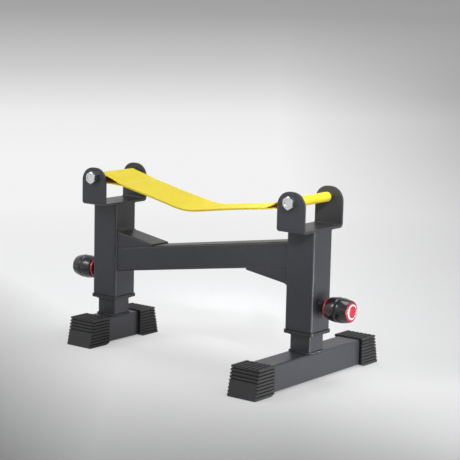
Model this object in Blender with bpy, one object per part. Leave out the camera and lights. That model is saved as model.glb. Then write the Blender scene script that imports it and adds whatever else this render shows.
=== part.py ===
# Barbell jack: a low steel stand that carries the end of a bar on a webbing strap.
#
# Two telescopic posts stand on tubular feet. A sloping crossbar with two gussets joins the
# posts. A U-shaped bracket on top of each post holds a bolt, and the strap hangs between the
# two bolts. A spring plunger with a barrel knob locks each leg at one of its five heights.
#
# Frame of the model: metres, +Z up. The origin is on the floor, midway between the posts.
# +X runs along the crossbar from the left post to the right post, and the feet run along Y.

import math

import bmesh
import bpy
from mathutils import Vector

# General clearances, the least inside corner of a tube, and how far a cutter runs past its piece
SEAT_GAP = 0.0003
RUNNING_GAP = 0.0004
LEAST_INNER_CORNER = 0.001
CUT_BEYOND = 0.005

# Posts
POST_SPAN = 0.475
POST_WIDTH = 0.060
POST_WALL = 0.003
POST_CORNER = 0.005
POST_BOTTOM = 0.0935
POST_ABOVE_TOP_HOLE = 0.039

# Telescopic legs. The pin holes are a height step apart.
LEG_WALL = 0.0025
LEG_CORNER = 0.004
LEG_HEADROOM = 0.006
HEIGHT_STEP = 0.025
HEIGHT_STEPS = 4
WELD_LEG = 0.0025
WELD_THROAT_HEIGHT = 0.0011
WELD_THROAT_REACH = 0.0021

# Sleeve that guides each leg in its post, and the glide on top of the leg
SLEEVE_WALL = 0.0039
SLEEVE_BELOW_BARREL = 0.0045
SLEEVE_FLANGE_PROUD = 0.0027
SLEEVE_FLANGE_THICKNESS = 0.006
SLEEVE_LIP_PROUD = 0.0024
SLEEVE_LIP_HEIGHT = 0.003
SLEEVE_EDGE = 0.0012
GLIDE_THICKNESS = 0.008
GLIDE_PLUG_DEPTH = 0.012
GLIDE_PLUG_WALL = 0.003
GLIDE_EDGE = 0.001

# Feet
FOOT_SHOULDER = 0.0025
FOOT_HEIGHT = 0.050
FOOT_WALL = 0.0025
FOOT_CORNER = 0.004
FOOT_UNDERSIDE = 0.0025
LEFT_FOOT_BARE_LENGTH = 0.092
RIGHT_FOOT_BARE_LENGTH = 0.281

# Rubber foot caps
CAP_OVERLAP = 0.040
CAP_SIDE_WALL = 0.0065
CAP_TOP_WALL = 0.0019
CAP_LENGTH_AT_FLOOR = 0.058
CAP_LENGTH_AT_TOP = 0.0465
CAP_EDGE_RADIUS = 0.0025
CAP_SOLE_CHAMFER = 0.0012
CAP_RIB_COUNT = 8
CAP_RIB_DEPTH = 0.0015
CAP_RIB_SLOPE = 0.0008
CAP_GROOVE_WIDTH = 0.0016
CAP_LIP_HEIGHT = 0.0052
CAP_PLAIN_PANEL_TOP = 0.029
CAP_TOP_GROOVES = 5
CAP_TOP_GROOVE_DEPTH = 0.0009
CAP_FIRST_RIB_SHARE = 0.75
CAP_LAST_RIB_SHARE = 0.75
CAP_HEEL_LENGTH = 0.011
CAP_HEEL_RISE = 0.0042

# Crossbar and gussets
BAR_SETBACK = 0.005
BAR_HEIGHT = 0.0475
BAR_WALL = 0.0025
BAR_CORNER = 0.004
BAR_DROP_AT_LEFT = 0.0845
BAR_DROP_AT_RIGHT = 0.0225
LEFT_GUSSET_LENGTH = 0.090
RIGHT_GUSSET_LENGTH = 0.095
GUSSET_ROOT = 0.032
GUSSET_FILLET = 0.010
GUSSET_WALL = 0.0025
GUSSET_TIP_OPENING = 0.0006
GUSSET_EDGE = 0.003
GUSSET_EDGE_SHARE = 0.8

# Strap brackets
BRACKET_SPREAD = 0.1255
BRACKET_HEIGHT = 0.0747
BRACKET_PLATE = 0.005
BRACKET_BEND = 0.008
BRACKET_EAR_FLAT = 0.006
BOLT_BELOW_TOP = 0.0196

# Strap bolts, M14
BOLT_DIAMETER = 0.014
BOLT_HEAD_FLATS = 0.022
BOLT_HEAD_HEIGHT = 0.010
BOLT_TIP = 0.003
NUT_HEIGHT = 0.0128
WASHER_DIAMETER = 0.028
WASHER_THICKNESS = 0.0025
WASHER_EDGE = 0.0004

# Lifting strap: webbing laid double, with a sewn eye round each bolt
STRAP_SIDE_GAP = 0.00475
STRAP_LAYER = 0.0019
STRAP_EYE_GAP = 0.0003
STRAP_EYE_REACH = 0.0636
STRAP_LOW_X = -0.015
STRAP_SAG = 0.0428
STRAP_LEFT_SEAM_DROP = 0.0093
STRAP_RIGHT_SEAM_DROP = 0.0175
STRAP_SADDLE_RADIUS = 0.160

# Spring plungers
PLUNGER_RISE = 0.0455
PLUNGER_TRAVEL = 0.007
PIN_DIAMETER = 0.010
PIN_HOLE_CLEARANCE = 0.0005
PIN_PARKED_GAP = 0.0008
PIN_NOSE_CHAMFER = 0.0012
COLLAR_STEP = 0.0022
COLLAR_THICKNESS = 0.0015
BARREL_WALL = 0.0022
BARREL_REACH = 0.014
BARREL_END_WALL = 0.0018
BARREL_SHOULDER = 0.0014
BARREL_EDGE = 0.0008
CHAMBER_CLEARANCE = 0.0006
WELD_NUT_WALL = 0.002
WELD_NUT_THICKNESS = 0.008
SPRING_TURNS = 3
SPRING_WIRE = 0.001

# Knobs. Distances along the knob are measured from the face of the post.
KNOB_START = 0.0148
KNOB_LENGTH = 0.0552
KNOB_DIAMETER = 0.0468
KNOB_NECK_DIAMETER = 0.0372
KNOB_END_DIAMETER = 0.0386
KNOB_WIDEST_AT = 0.026
KNOB_GROOVE_WIDTH = 0.0014
KNOB_GROOVE_DEPTH = 0.0008
KNOB_EDGE = 0.0007
KNOB_RIM = 0.0011
KNOB_MOUTH_CLEARANCE = 0.002
KNOB_BARREL_GAP = 0.0023
KNOB_SOCKET_DEPTH = 0.024
RING_LENGTH = 0.005
RING_NUT_CLEARANCE = 0.0006
RING_EDGE = 0.0012
DISC_RECESS = 0.0022
DISC_PROUD = 0.0045
DISC_DOME = 0.0040
DISC_FLAT = 0.0022

# Smoothness. BOLT_SEGMENTS is a multiple of six, so that hexagons keep their corners.
CORNER_STEPS = 3
CAP_CORNER_STEPS = 2
BEND_STEPS = 5
ROUND_SEGMENTS = 24
BOLT_SEGMENTS = 24
HOLE_SEGMENTS = 16
KNOB_STEPS = 5
DOME_STEPS = 4
WIRE_SIDES = 6
SPRING_STEPS_PER_TURN = 10

HEX_FACE_SHARE = 0.95
HEX_CHAMFER_ANGLE = math.radians(30)

LEFT = -1
RIGHT = 1
SIDE_NAMES = {LEFT: "left", RIGHT: "right"}
FOOT_BARE_LENGTHS = {LEFT: LEFT_FOOT_BARE_LENGTH, RIGHT: RIGHT_FOOT_BARE_LENGTH}
GUSSET_LENGTHS = {LEFT: LEFT_GUSSET_LENGTH, RIGHT: RIGHT_GUSSET_LENGTH}

# Widths that follow from what fits in what
LEG_WIDTH = POST_WIDTH - 2 * (POST_WALL + SLEEVE_WALL + 2 * SEAT_GAP)
FOOT_WIDTH = LEG_WIDTH + 2 * FOOT_SHOULDER
BAR_DEPTH = POST_WIDTH - 2 * BAR_SETBACK
BRACKET_WIDTH = POST_WIDTH
STRAP_WIDTH = BRACKET_SPREAD - 2 * (BRACKET_PLATE + STRAP_SIDE_GAP)
BOLT_HOLE = BOLT_DIAMETER + 2 * SEAT_GAP
PIN_HOLE = PIN_DIAMETER + 2 * PIN_HOLE_CLEARANCE
COLLAR_DIAMETER = PIN_DIAMETER + 2 * COLLAR_STEP
CHAMBER_DIAMETER = COLLAR_DIAMETER + 2 * CHAMBER_CLEARANCE
BARREL_DIAMETER = CHAMBER_DIAMETER + 2 * BARREL_WALL
SPRING_DIAMETER = (PIN_DIAMETER + CHAMBER_DIAMETER) / 2
WELD_NUT_FLATS = BARREL_DIAMETER + 2 * WELD_NUT_WALL
RING_BORE = WELD_NUT_FLATS / math.cos(math.pi / 6) + 2 * RING_NUT_CLEARANCE

# Heights above the floor
FOOT_TOP = FOOT_UNDERSIDE + FOOT_HEIGHT
PLUNGER_HEIGHT = POST_BOTTOM + PLUNGER_RISE
TOP_HOLE_HEIGHT = PLUNGER_HEIGHT + HEIGHT_STEPS * HEIGHT_STEP
POST_TOP = TOP_HOLE_HEIGHT + POST_ABOVE_TOP_HOLE
SLEEVE_TOP = PLUNGER_HEIGHT - BARREL_DIAMETER / 2 - SLEEVE_BELOW_BARREL
BRACKET_FLOOR = POST_TOP + SEAT_GAP
BRACKET_TOP = BRACKET_FLOOR + BRACKET_HEIGHT
BOLT_HEIGHT = BRACKET_TOP - BOLT_BELOW_TOP
STRAP_LOW_Z = BOLT_HEIGHT - STRAP_SAG

# Distances out from the middle of a post
PLUNGER_FACE = POST_WIDTH / 2
KNOB_SEAT = PLUNGER_FACE + BARREL_REACH + PLUNGER_TRAVEL + KNOB_BARREL_GAP


def clear_scene():
    for old in list(bpy.data.objects):
        bpy.data.objects.remove(old, do_unlink=True)


def make_material(name, colour, roughness, metallic):
    material = bpy.data.materials.new(name)
    material.use_nodes = True
    shader = material.node_tree.nodes["Principled BSDF"]
    shader.inputs["Base Color"].default_value = (*colour, 1.0)
    shader.inputs["Roughness"].default_value = roughness
    shader.inputs["Metallic"].default_value = metallic
    material.diffuse_color = (*colour, 1.0)
    return material


def post_x(side):
    return side * POST_SPAN / 2


# Building meshes from rings of points

def rounded_rectangle(width, height, radius, steps=CORNER_STEPS):
    """Points of a rectangle with round corners, counter-clockwise, centred on zero."""
    points = []
    corners = ((1, 1, 0), (-1, 1, 90), (-1, -1, 180), (1, -1, 270))
    for sign_u, sign_v, start in corners:
        centre_u = sign_u * (width / 2 - radius)
        centre_v = sign_v * (height / 2 - radius)
        for step in range(steps + 1):
            angle = math.radians(start + 90 * step / steps)
            points.append((centre_u + radius * math.cos(angle), centre_v + radius * math.sin(angle)))
    return points


def loft(rings, closed=False):
    """Skin a row of rings. A closed row joins its last ring to its first, as in a tube."""
    mesh = bmesh.new()
    loops = [[mesh.verts.new(point) for point in ring] for ring in rings]
    pairs = list(zip(loops, loops[1:]))
    if closed:
        pairs.append((loops[-1], loops[0]))
    else:
        mesh.faces.new(loops[0])
        mesh.faces.new(loops[-1])
    for first, second in pairs:
        for index in range(len(first)):
            after = (index + 1) % len(first)
            mesh.faces.new((first[index], first[after], second[after], second[index]))
    bmesh.ops.recalc_face_normals(mesh, faces=mesh.faces)
    return mesh


def extrude_outline(outline, depth):
    """Solid with an XZ outline, extruded along Y and centred on Y = 0."""
    near = [(x, -depth / 2, z) for x, z in outline]
    far = [(x, depth / 2, z) for x, z in outline]
    return loft([near, far])


def turn(profile, segments=ROUND_SEGMENTS, closed=False, axis="X"):
    """Turn (along, radius) pairs round an axis. A radius may be a function of the angle."""
    rings = []
    for along, radius in profile:
        ring = []
        for index in range(segments):
            angle = 2 * math.pi * index / segments
            reach = radius(angle) if callable(radius) else radius
            across = reach * math.cos(angle)
            up = reach * math.sin(angle)
            ring.append((along, across, up) if axis == "X" else (across, along, up))
        rings.append(ring)
    return loft(rings, closed)


def hexagon(flats, limit=None):
    """Radius of a hexagon at an angle, cut back to a round limit where one is given."""
    def radius(angle):
        from_flat = (angle + math.pi / 6) % (math.pi / 3) - math.pi / 6
        reach = flats / 2 / math.cos(from_flat)
        return reach if limit is None else min(reach, limit)
    return radius


def hexagon_face(flats):
    """Radius of the round face that is left when a hexagon's corners are chamfered."""
    return HEX_FACE_SHARE * flats / 2


def hexagon_corner(flats):
    return flats / 2 / math.cos(math.pi / 6)


def hexagon_chamfer(flats):
    return (hexagon_corner(flats) - hexagon_face(flats)) * math.tan(HEX_CHAMFER_ANGLE)


def add_object(name, mesh, material, location=(0, 0, 0), parent=None, smooth_angle=None):
    data = bpy.data.meshes.new(name)
    mesh.to_mesh(data)
    mesh.free()
    data.materials.append(material)
    if smooth_angle is not None:
        data.shade_smooth()
        data.set_sharp_from_angle(angle=math.radians(smooth_angle))
    item = bpy.data.objects.new(name, data)
    item.location = location
    item.parent = parent
    bpy.context.scene.collection.objects.link(item)
    return item


def add_empty(name, location, parent=None):
    item = bpy.data.objects.new(name, None)
    item.location = location
    item.parent = parent
    bpy.context.scene.collection.objects.link(item)
    return item


def join_meshes(meshes):
    """Put the bodies of several cutters in one mesh."""
    whole = bmesh.new()
    for mesh in meshes:
        data = bpy.data.meshes.new("cutter_body")
        mesh.to_mesh(data)
        mesh.free()
        whole.from_mesh(data)
        bpy.data.meshes.remove(data)
    return whole


def cut(item, mesh):
    """Cut a mesh, given in the item's own coordinates, out of the item."""
    data = bpy.data.meshes.new(item.name + "_cut")
    mesh.to_mesh(data)
    mesh.free()
    cutter = bpy.data.objects.new(item.name + "_cut", data)
    cutter.location = item.location
    cutter.parent = item.parent
    cutter.hide_render = True
    cutter.display_type = "WIRE"
    bpy.context.scene.collection.objects.link(cutter)
    modifier = item.modifiers.new("cut", "BOOLEAN")
    modifier.operation = "DIFFERENCE"
    modifier.solver = "EXACT"
    modifier.object = cutter


# Square tubes and what is made from them

def upright_ring(width, radius, height, shift_x=0.0):
    return [(u + shift_x, v, height) for u, v in rounded_rectangle(width, width, radius)]


def square_stack(levels):
    """Solid from (height, width, corner radius) levels, closed from the last to the first."""
    rings = [upright_ring(width, radius, height) for height, width, radius in levels]
    return loft(rings, closed=True)


def inner_corner(corner, wall):
    return max(corner - wall, LEAST_INNER_CORNER)


def make_upright_tube(side, paint):
    name = SIDE_NAMES[side] + "_upright_tube"
    bore = POST_WIDTH - 2 * POST_WALL
    bore_corner = inner_corner(POST_CORNER, POST_WALL)
    mesh = square_stack([
        (POST_BOTTOM, POST_WIDTH, POST_CORNER),
        (POST_TOP, POST_WIDTH, POST_CORNER),
        (POST_TOP, bore, bore_corner),
        (POST_BOTTOM, bore, bore_corner),
    ])
    tube = add_object(name, mesh, paint, (post_x(side), 0, 0), smooth_angle=30)
    start = PLUNGER_FACE - POST_WALL - CUT_BEYOND
    end = PLUNGER_FACE + CUT_BEYOND
    radius = BARREL_DIAMETER / 2 + SEAT_GAP
    hole = turn([(side * start, radius), (side * end, radius)])
    bmesh.ops.translate(hole, verts=hole.verts, vec=(0, 0, PLUNGER_HEIGHT))
    cut(tube, hole)


def leg_top():
    return POST_TOP - LEG_HEADROOM - GLIDE_THICKNESS - SEAT_GAP


def make_leg_tube(side, paint, slide):
    name = SIDE_NAMES[side] + "_leg_tube"
    foot_seat = FOOT_TOP + SEAT_GAP
    bore = LEG_WIDTH - 2 * LEG_WALL
    bore_corner = inner_corner(LEG_CORNER, LEG_WALL)
    mesh = square_stack([
        (foot_seat, bore, bore_corner),
        (foot_seat, LEG_WIDTH + 2 * WELD_LEG, LEG_CORNER + WELD_LEG),
        (foot_seat + WELD_THROAT_HEIGHT, LEG_WIDTH + 2 * WELD_THROAT_REACH, LEG_CORNER + WELD_THROAT_REACH),
        (foot_seat + WELD_LEG, LEG_WIDTH, LEG_CORNER),
        (leg_top(), LEG_WIDTH, LEG_CORNER),
        (leg_top(), bore, bore_corner),
    ])
    tube = add_object(name, mesh, paint, parent=slide, smooth_angle=30)
    start = LEG_WIDTH / 2 - LEG_WALL - CUT_BEYOND
    end = LEG_WIDTH / 2 + CUT_BEYOND
    holes = []
    for step in range(HEIGHT_STEPS + 1):
        hole = turn([(side * start, PIN_HOLE / 2), (side * end, PIN_HOLE / 2)], HOLE_SEGMENTS)
        height = PLUNGER_HEIGHT + step * HEIGHT_STEP
        bmesh.ops.translate(hole, verts=hole.verts, vec=(0, 0, height))
        holes.append(hole)
    cut(tube, join_meshes(holes))


def make_guide_sleeve(side, plastic):
    name = SIDE_NAMES[side] + "_guide_sleeve"
    flange_top = POST_BOTTOM - SEAT_GAP
    flange_bottom = flange_top - SLEEVE_FLANGE_THICKNESS
    lip_bottom = flange_bottom - SLEEVE_LIP_HEIGHT
    flange = POST_WIDTH + 2 * SLEEVE_FLANGE_PROUD
    body = POST_WIDTH - 2 * POST_WALL - 2 * SEAT_GAP
    bore = LEG_WIDTH + 2 * SEAT_GAP
    lip = bore + 2 * SLEEVE_LIP_PROUD
    edge = SLEEVE_EDGE
    mesh = square_stack([
        (lip_bottom, bore, LEG_CORNER),
        (lip_bottom, lip - edge, LEG_CORNER),
        (lip_bottom + edge, lip, LEG_CORNER),
        (flange_bottom, lip, LEG_CORNER),
        (flange_bottom, flange - 2 * edge, POST_CORNER),
        (flange_bottom + edge, flange, POST_CORNER + SLEEVE_FLANGE_PROUD),
        (flange_top - edge, flange, POST_CORNER + SLEEVE_FLANGE_PROUD),
        (flange_top, flange - 2 * edge, POST_CORNER),
        (flange_top, body, inner_corner(POST_CORNER, POST_WALL)),
        (SLEEVE_TOP, body, inner_corner(POST_CORNER, POST_WALL)),
        (SLEEVE_TOP, bore, LEG_CORNER),
    ])
    add_object(name, mesh, plastic, (post_x(side), 0, 0), smooth_angle=30)


def make_leg_glide(side, plastic, slide):
    name = SIDE_NAMES[side] + "_leg_glide"
    seat = leg_top() + SEAT_GAP
    head = POST_WIDTH - 2 * POST_WALL - 2 * RUNNING_GAP
    plug = LEG_WIDTH - 2 * LEG_WALL - 2 * SEAT_GAP
    plug_corner = inner_corner(LEG_CORNER, LEG_WALL)
    head_corner = inner_corner(POST_CORNER, POST_WALL)
    rings = [
        upright_ring(plug - 2 * GLIDE_PLUG_WALL, plug_corner, seat),
        upright_ring(plug - 2 * GLIDE_PLUG_WALL, plug_corner, seat - GLIDE_PLUG_DEPTH),
        upright_ring(plug, plug_corner, seat - GLIDE_PLUG_DEPTH),
        upright_ring(plug, plug_corner, seat),
        upright_ring(head, head_corner, seat),
        upright_ring(head, head_corner, seat + GLIDE_THICKNESS - GLIDE_EDGE),
        upright_ring(head - 2 * GLIDE_EDGE, head_corner, seat + GLIDE_THICKNESS),
    ]
    add_object(name, loft(rings), plastic, parent=slide, smooth_angle=30)


def make_foot_tube(side, paint, slide):
    name = SIDE_NAMES[side] + "_foot_tube"
    half = FOOT_BARE_LENGTHS[side] / 2 + CAP_OVERLAP - SEAT_GAP
    centre = FOOT_UNDERSIDE + FOOT_HEIGHT / 2
    outer = rounded_rectangle(FOOT_WIDTH, FOOT_HEIGHT, FOOT_CORNER)
    inner_radius = inner_corner(FOOT_CORNER, FOOT_WALL)
    inner = rounded_rectangle(FOOT_WIDTH - 2 * FOOT_WALL, FOOT_HEIGHT - 2 * FOOT_WALL, inner_radius)
    rings = []
    for section, y in ((outer, -half), (outer, half), (inner, half), (inner, -half)):
        rings.append([(u, y, centre + v) for u, v in section])
    add_object(name, loft(rings, closed=True), paint, parent=slide, smooth_angle=30)


# Rubber caps on the ends of the feet

def cap_top():
    return FOOT_TOP + SEAT_GAP + CAP_TOP_WALL


def cap_end(height):
    """How far the sloping outer end stands from the cap's mouth, at a height."""
    share = height / cap_top()
    return CAP_LENGTH_AT_FLOOR + (CAP_LENGTH_AT_TOP - CAP_LENGTH_AT_FLOOR) * share


def cap_ring(height, side_inset, end_inset, direction):
    half = FOOT_WIDTH / 2 + SEAT_GAP + CAP_SIDE_WALL - side_inset
    end = cap_end(height) - end_inset
    radius = CAP_EDGE_RADIUS
    points = [(-half, 0)]
    for sign, start in ((-1, 180), (1, 90)):
        for step in range(CAP_CORNER_STEPS + 1):
            angle = math.radians(start - 90 * step / CAP_CORNER_STEPS)
            across = sign * (half - radius) + radius * math.cos(angle)
            points.append((across, end - radius + radius * math.sin(angle)))
    points.append((half, 0))
    return [(u, direction * v, height) for u, v in points]


def cap_levels():
    """(height, side inset, end inset) from the sole up through every rib."""
    top = cap_top()
    pitch = (top - CAP_LIP_HEIGHT) / CAP_RIB_COUNT
    levels = [(0.0, CAP_SOLE_CHAMFER, CAP_SOLE_CHAMFER), (CAP_SOLE_CHAMFER, 0.0, 0.0)]
    for rib in range(CAP_RIB_COUNT):
        start = CAP_LIP_HEIGHT + rib * pitch
        end_depth = CAP_RIB_DEPTH if start > CAP_PLAIN_PANEL_TOP else 0.0
        levels.append((start, 0.0, 0.0))
        levels.append((start + CAP_RIB_SLOPE, CAP_RIB_DEPTH, end_depth))
        levels.append((start + CAP_RIB_SLOPE + CAP_GROOVE_WIDTH, CAP_RIB_DEPTH, end_depth))
        levels.append((start + 2 * CAP_RIB_SLOPE + CAP_GROOVE_WIDTH, 0.0, 0.0))
    levels.append((top, 0.0, 0.0))
    return levels


def box(low, high):
    mesh = bmesh.new()
    bmesh.ops.create_cube(mesh, size=1.0)
    low = Vector(low)
    high = Vector(high)
    for vertex in mesh.verts:
        share = vertex.co + Vector((0.5, 0.5, 0.5))
        vertex.co = [low[axis] + (high[axis] - low[axis]) * share[axis] for axis in range(3)]
    return mesh


def cap_socket(direction):
    """Cutter for the square socket that the foot tube fills."""
    section = rounded_rectangle(FOOT_WIDTH + 2 * SEAT_GAP, FOOT_HEIGHT + 2 * SEAT_GAP, FOOT_CORNER)
    centre = FOOT_UNDERSIDE + FOOT_HEIGHT / 2
    rings = []
    for reach in (-CUT_BEYOND, CAP_OVERLAP):
        rings.append([(u, direction * reach, centre + v) for u, v in section])
    return loft(rings)


def cap_heel(direction):
    """Wedge cutter that lifts the sole at the mouth, so that the cap's lip clears the floor."""
    slope = CAP_HEEL_RISE / CAP_HEEL_LENGTH
    outline = [
        (-CUT_BEYOND, CAP_HEEL_RISE + CUT_BEYOND * slope),
        (-CUT_BEYOND, -CUT_BEYOND),
        (CAP_HEEL_LENGTH + CUT_BEYOND / slope, -CUT_BEYOND),
    ]
    reach = FOOT_WIDTH / 2 + CAP_SIDE_WALL + CUT_BEYOND
    return loft([[(x, direction * along, z) for along, z in outline] for x in (-reach, reach)])


def cap_top_groove(direction, index):
    """Cutter for one groove across the cap's top. The plain ribs at its two ends are narrower."""
    pitch = CAP_LENGTH_AT_TOP / (CAP_FIRST_RIB_SHARE + CAP_TOP_GROOVES - 1 + CAP_LAST_RIB_SHARE)
    middle = direction * pitch * (index + CAP_FIRST_RIB_SHARE)
    reach = FOOT_WIDTH / 2 + CAP_SIDE_WALL + CUT_BEYOND
    low = (-reach, middle - CAP_GROOVE_WIDTH / 2, cap_top() - CAP_TOP_GROOVE_DEPTH)
    high = (reach, middle + CAP_GROOVE_WIDTH / 2, cap_top() + CUT_BEYOND)
    return box(low, high)


def make_foot_cap(side, direction, rubber, slide):
    end_name = "_foot_cap_front" if direction < 0 else "_foot_cap_rear"
    mouth = direction * FOOT_BARE_LENGTHS[side] / 2
    rings = [cap_ring(*level, direction) for level in cap_levels()]
    cap = add_object(SIDE_NAMES[side] + end_name, loft(rings), rubber, (0, mouth, 0), slide)
    grooves = [cap_top_groove(direction, index) for index in range(CAP_TOP_GROOVES)]
    cut(cap, join_meshes([cap_socket(direction), *grooves]))
    cut(cap, cap_heel(direction))


# Crossbar and gussets

def bar_left_end():
    return post_x(LEFT) + POST_WIDTH / 2 + SEAT_GAP


def bar_right_end():
    return post_x(RIGHT) - POST_WIDTH / 2 - SEAT_GAP


def bar_slope():
    return (BAR_DROP_AT_LEFT - BAR_DROP_AT_RIGHT) / (POST_SPAN - POST_WIDTH)


def bar_top(x):
    return POST_TOP - BAR_DROP_AT_LEFT + bar_slope() * (x - post_x(LEFT) - POST_WIDTH / 2)


def bar_upright_height(size):
    """Height of the sloping tube where a plumb plane cuts it."""
    return size * math.hypot(1.0, bar_slope())


def make_crossbar(paint):
    outer = rounded_rectangle(BAR_DEPTH, bar_upright_height(BAR_HEIGHT), BAR_CORNER)
    bore_height = bar_upright_height(BAR_HEIGHT - 2 * BAR_WALL)
    inner = rounded_rectangle(BAR_DEPTH - 2 * BAR_WALL, bore_height, inner_corner(BAR_CORNER, BAR_WALL))
    half = bar_upright_height(BAR_HEIGHT) / 2
    rings = []
    ends = (bar_left_end(), bar_right_end())
    for section, x in ((outer, ends[0]), (outer, ends[1]), (inner, ends[1]), (inner, ends[0])):
        rings.append([(x, u, bar_top(x) - half + v) for u, v in section])
    add_object("crossbar", loft(rings, closed=True), paint, smooth_angle=30)


def gusset_heights(side):
    """(out from the post, above the bar's line) along the gusset's open edge, from tip to post."""
    length = GUSSET_LENGTHS[side]
    tip_height = bar_slope() * length + GUSSET_WALL + GUSSET_TIP_OPENING
    fall = (GUSSET_ROOT - tip_height) / length
    angle = math.atan(fall)
    radius = GUSSET_FILLET
    centre_height = GUSSET_ROOT - fall * radius + radius / math.cos(angle)
    heights = [(length, tip_height)]
    for step in range(BEND_STEPS + 1):
        bend = math.radians(270) - angle - (math.pi / 2 - angle) * step / BEND_STEPS
        heights.append((radius + radius * math.cos(bend), centre_height + radius * math.sin(bend)))
    return heights


def gusset_section(base, top):
    """Channel section in (y, height): two side walls under a back with round edges."""
    half = BAR_DEPTH / 2
    radius = min(GUSSET_EDGE, (top - base) * GUSSET_EDGE_SHARE)
    points = [(half, base)]
    for sign, start in ((1, 0), (-1, 90)):
        for step in range(CORNER_STEPS + 1):
            angle = math.radians(start + 90 * step / CORNER_STEPS)
            centre_y = sign * (half - radius)
            points.append((centre_y + radius * math.cos(angle), top - radius + radius * math.sin(angle)))
    inner = half - GUSSET_WALL
    points += [(-half, base), (-inner, base), (-inner, top - GUSSET_WALL)]
    points += [(inner, top - GUSSET_WALL), (inner, base)]
    return points


def make_gusset(side, paint):
    """The left gusset stands on the bar, the right one hangs below it, turned half round."""
    start_x = bar_left_end() if side == LEFT else bar_right_end()
    edge_z = bar_top(start_x)
    if side == RIGHT:
        edge_z -= bar_upright_height(BAR_HEIGHT)
    rings = []
    for out, top in gusset_heights(side):
        base = bar_slope() * out + bar_upright_height(SEAT_GAP)
        rings.append([(start_x - side * out, y, edge_z - side * v) for y, v in gusset_section(base, top)])
    add_object(SIDE_NAMES[side] + "_gusset", loft(rings), paint, smooth_angle=30)


# Brackets, bolts and strap

def bracket_profile():
    """U section in the YZ plane, outside then inside, from one ear over the floor to the other."""
    half = BRACKET_SPREAD / 2
    outside = [(-half, BRACKET_TOP)]
    inside = [(-half + BRACKET_PLATE, BRACKET_TOP)]
    for side in (-1, 1):
        centre_y = side * (half - BRACKET_BEND)
        centre_z = BRACKET_FLOOR + BRACKET_BEND
        for step in range(BEND_STEPS + 1):
            share = step / BEND_STEPS
            angle = math.radians(180 + 90 * share) if side < 0 else math.radians(270 + 90 * share)
            for path, radius in ((outside, BRACKET_BEND), (inside, BRACKET_BEND - BRACKET_PLATE)):
                path.append((centre_y + radius * math.cos(angle), centre_z + radius * math.sin(angle)))
    outside.append((half, BRACKET_TOP))
    inside.append((half - BRACKET_PLATE, BRACKET_TOP))
    return outside + inside[::-1]


def ear_corner(sign):
    """Cutter that rounds both ears at one upper corner."""
    half = BRACKET_WIDTH / 2
    radius = half - BRACKET_EAR_FLAT / 2
    centre = (half - radius, BRACKET_TOP - radius)
    outline = [(half + CUT_BEYOND, BRACKET_TOP + CUT_BEYOND), (half + CUT_BEYOND, centre[1])]
    steps = 2 * BEND_STEPS
    for step in range(steps + 1):
        angle = math.radians(90 * step / steps)
        outline.append((centre[0] + radius * math.cos(angle), centre[1] + radius * math.sin(angle)))
    outline.append((centre[0], BRACKET_TOP + CUT_BEYOND))
    return extrude_outline([(sign * x, z) for x, z in outline], BRACKET_SPREAD + 2 * CUT_BEYOND)


def make_bracket(side, paint):
    name = SIDE_NAMES[side] + "_strap_bracket"
    profile = bracket_profile()
    rings = [[(x, y, z) for y, z in profile] for x in (-BRACKET_WIDTH / 2, BRACKET_WIDTH / 2)]
    bracket = add_object(name, loft(rings), paint, (post_x(side), 0, 0), smooth_angle=30)
    reach = BRACKET_SPREAD / 2 + CUT_BEYOND
    hole = turn([(-reach, BOLT_HOLE / 2), (reach, BOLT_HOLE / 2)], BOLT_SEGMENTS, axis="Y")
    bmesh.ops.translate(hole, verts=hole.verts, vec=(0, 0, BOLT_HEIGHT))
    cut(bracket, join_meshes([ear_corner(-1), ear_corner(1), hole]))


def nut_face():
    return BRACKET_SPREAD / 2 + SEAT_GAP + WASHER_THICKNESS + SEAT_GAP


def make_strap_bolt(side, zinc):
    seat = -BRACKET_SPREAD / 2 - SEAT_GAP
    top = seat - BOLT_HEAD_HEIGHT
    face = hexagon_face(BOLT_HEAD_FLATS)
    halfway = (face + hexagon_corner(BOLT_HEAD_FLATS)) / 2
    chamfer = hexagon_chamfer(BOLT_HEAD_FLATS)
    end = nut_face() + NUT_HEIGHT + BOLT_TIP
    radius = BOLT_DIAMETER / 2
    profile = [
        (top, face),
        (top + chamfer / 2, hexagon(BOLT_HEAD_FLATS, halfway)),
        (top + chamfer, hexagon(BOLT_HEAD_FLATS)),
        (seat, hexagon(BOLT_HEAD_FLATS)),
        (seat, radius),
        (end - BOLT_TIP / 2, radius),
        (end, radius - BOLT_TIP / 2),
    ]
    name = SIDE_NAMES[side] + "_strap_bolt"
    mesh = turn(profile, BOLT_SEGMENTS, axis="Y")
    add_object(name, mesh, zinc, (post_x(side), 0, BOLT_HEIGHT), smooth_angle=30)


def make_strap_nut(side, zinc):
    start = nut_face()
    end = start + NUT_HEIGHT
    bore = BOLT_DIAMETER / 2 + SEAT_GAP
    face = hexagon_face(BOLT_HEAD_FLATS)
    chamfer = hexagon_chamfer(BOLT_HEAD_FLATS)
    profile = [
        (start, bore),
        (start, face),
        (start + chamfer, hexagon(BOLT_HEAD_FLATS)),
        (end - chamfer, hexagon(BOLT_HEAD_FLATS)),
        (end, face),
        (end, bore),
    ]
    name = SIDE_NAMES[side] + "_strap_nut"
    mesh = turn(profile, BOLT_SEGMENTS, closed=True, axis="Y")
    add_object(name, mesh, zinc, (post_x(side), 0, BOLT_HEIGHT), smooth_angle=30)


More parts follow.
